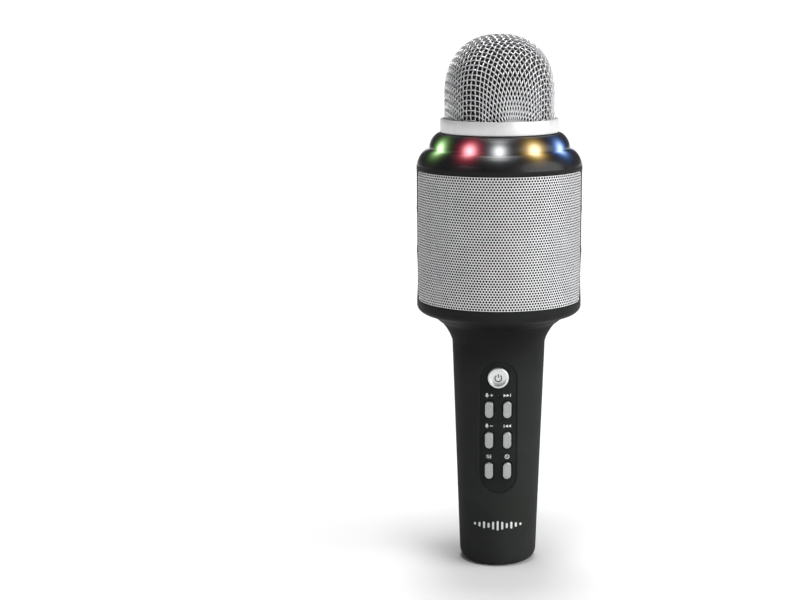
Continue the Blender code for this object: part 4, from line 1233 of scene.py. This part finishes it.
def tube(sheet, path, radius, sides=8):
    """A round wire along a path, with closed ends."""
    before = None
    across = None
    for i, spot in enumerate(path):
        ahead = path[min(i + 1, len(path) - 1)] - path[max(i - 1, 0)]
        ahead.normalize()
        if across is None:
            across = ahead.orthogonal()
        across = (across - ahead * across.dot(ahead)).normalized()
        other = ahead.cross(across)
        ring = []
        for k in range(sides):
            angle = math.tau * k / sides
            ring.append(spot + (across * math.cos(angle) + other * math.sin(angle)) * radius)
        row = sheet.loop(ring)
        if before:
            sheet.bridge(before, row)
        else:
            sheet.faces.append(tuple(reversed(row)))
        before = row
    sheet.faces.append(tuple(before))


WIRE_RADIUS = 0.275 * MM
WAVE = 0.28 * MM
WIRE_END = 207.9 * MM


def runs_of(line, swap, raised):
    """The names of a line's crossings, in unbroken runs."""
    reach = 2 * CELLS + 2
    runs = []
    for step in range(-reach, reach + 1):
        key = (line, step) if swap else (step, line)
        if key not in raised:
            continue
        if runs and runs[-1][-1][0] == step - 1:
            runs[-1].append((step, key))
        else:
            runs.append([(step, key)])
    return [[key for _, key in run] for run in runs]


def make_basket():
    """The woven basket: two sets of wires that pass over and under each other."""
    raised = {key: (spot, MESH_DOME.normal(spot)) for key, spot in draped_net().items()}
    for name, swap, sign in (("basket_warp", False, 1), ("basket_weft", True, -1)):
        sheet = Sheet()
        for line in range(-CELLS, CELLS + 1):
            for run in runs_of(line, swap, raised):
                if len(run) < 3:
                    continue
                spots = []
                for key in run:
                    spot, up = raised[key]
                    phase = 1 if sum(key) % 2 == 0 else -1
                    spots.append(spot + up * WAVE * sign * phase)
                ends = [2 * spots[0] - spots[1]] + spots + [2 * spots[-1] - spots[-2]]
                path = []
                for a, b, c, d in zip(ends, ends[1:], ends[2:], ends[3:]):
                    path += [smooth_between(a, b, c, d, k / 4) for k in range(4)]
                path.append(spots[-1])
                kept = [spot for spot in path if spot.z >= WIRE_END]
                if len(kept) > 2:
                    tube(sheet, kept, WIRE_RADIUS)
        placed(sheet.build(name, WIRE_SILVER, 60.0), "head", "mesh_basket")


FOAM_TOP = 247.8 * MM
FOAM_STEPS = 60


def make_foam():
    """The foam liner: a smooth dome with a soft lower edge."""
    shape = Dome(23.3 * MM, FOAM_TOP, 210.6 * MM)
    total = shape.ways[-1]
    profile = [(0.02 * MM, FOAM_TOP)]
    for i in range(1, FOAM_STEPS + 1):
        radius, height, _ = shape.at(total * i / FOAM_STEPS)
        profile.append((radius, height))
    profile += mm((23.0, 210.15), (22.3, 210.0), (20.5, 210.0))
    foam = turned("foam_dome", profile, FOAM_DARK, 160)
    placed(foam, "foam", "foam_liner")


make_collar()
make_basket()
make_foam()

# ---------------------------------------------------------------- finishes on the CAD nodes


def dress_nodes():
    """Gives every carried-over node its finish, and each light its colour."""
    slots = {part["node"]: part["material_slot"] for part in frame["record"]["subparts"]}
    lights = sorted(name for name in frame["nodes"] if name.startswith("light_") and name[6:].isdigit())
    colours = dict(zip(lights, LIGHT_COLOURS.values()))
    for name, node in frame["nodes"].items():
        look = SLOT_LOOKS.get(slots.get(name), INNER_BLACK)
        if name in colours:
            look = lit_package(name + "_look", colours[name])
        if not node.material_slots:
            node.data.materials.append(look)
        for slot in node.material_slots:
            slot.material = look


dress_nodes()

# ---------------------------------------------------------------- stage, light and camera

FLOOR_HALF = 400.0
CAMERA_PLACE = Vector((0.0, -0.7765, 0.2677))
CAMERA_YAW, CAMERA_PITCH, CAMERA_ROLL = (math.radians(turn) for turn in (-3.44, 10.35, -0.37))
CAMERA_LENS = 75.08


def studio_floor():
    sheet = Sheet()
    corners = [(x * FLOOR_HALF, y * FLOOR_HALF, 0) for x, y in ((-1, -1), (1, -1), (1, 1), (-1, 1))]
    sheet.faces.append(tuple(sheet.loop(corners)))
    n = Nodes("studio_floor")
    n.set(Specular_IOR_Level=0.1)
    paper = n.ramp(n.noise(6.0), [(0.3, (0.90, 0.90, 0.90)), (0.7, (0.92, 0.92, 0.92))])
    floor = sheet.build("studio_floor", n.finish(paper, n.span(n.noise(40.0), 0.85, 0.95)))


def area_light(name, place, aim, size, power):
    light = bpy.data.lights.new(name, "AREA")
    light.shape = "RECTANGLE"
    light.size, light.size_y = size
    light.energy = power
    obj = bpy.data.objects.new(name, light)
    obj.location = place
    obj.rotation_euler = (Vector(aim) - Vector(place)).to_track_quat("-Z", "Y").to_euler()
    bpy.context.scene.collection.objects.link(obj)


def sun_light(name, strength, azimuth, elevation, spread):
    """Soft parallel light from an azimuth (the front towards +X) and an elevation, in degrees."""
    light = bpy.data.lights.new(name, "SUN")
    light.energy = strength
    light.angle = math.radians(spread)
    obj = bpy.data.objects.new(name, light)
    level = math.cos(math.radians(elevation))
    towards = round_about(level, azimuth, math.sin(math.radians(elevation)))
    obj.rotation_euler = towards.to_track_quat("Z", "Y").to_euler()
    bpy.context.scene.collection.objects.link(obj)


def studio_world(level):
    world = bpy.data.worlds.new("studio")
    world.use_nodes = True
    background = world.node_tree.nodes["Background"]
    background.inputs["Color"].default_value = (1.0, 1.0, 1.0, 1.0)
    background.inputs["Strength"].default_value = level
    bpy.context.scene.world = world


def make_camera():
    """The camera as solved from the round edges in the photograph."""
    camera = bpy.data.cameras.new("camera")
    camera.lens = CAMERA_LENS
    camera.sensor_width = 36.0
    camera.clip_start = 0.05
    camera.clip_end = 2000.0
    obj = bpy.data.objects.new("camera", camera)
    level = math.cos(CAMERA_PITCH)
    forward = Vector((math.sin(CAMERA_YAW) * level, math.cos(CAMERA_YAW) * level, -math.sin(CAMERA_PITCH)))
    right = forward.cross(Vector((0.0, 0.0, 1.0))).normalized()
    up = right.cross(forward)
    rolled_right = right * math.cos(CAMERA_ROLL) + up * math.sin(CAMERA_ROLL)
    rolled_up = up * math.cos(CAMERA_ROLL) - right * math.sin(CAMERA_ROLL)
    turn = Matrix((rolled_right, rolled_up, -forward)).transposed().to_4x4()
    obj.matrix_world = Matrix.Translation(CAMERA_PLACE) @ turn
    bpy.context.scene.collection.objects.link(obj)
    bpy.context.scene.camera = obj


studio_floor()
studio_world(0.09)
sun_light("front_overhead", 1.1, 0.0, 77.0, 18.0)
sun_light("rear_overhead", 1.1, 180.0, 80.0, 18.0)
sun_light("far_overhead", 0.45, 180.0, 69.0, 20.0)
sun_light("right_side", 3.0, 66.0, 18.0, 62.0)
area_light("left_strip", (-0.66, -0.56, 0.69), (0.0, 0.0, 0.19), (0.35, 0.08), 0.3)
make_camera()
bpy.context.scene.view_settings.view_transform = "Standard"

bpy.context.view_layer.update()
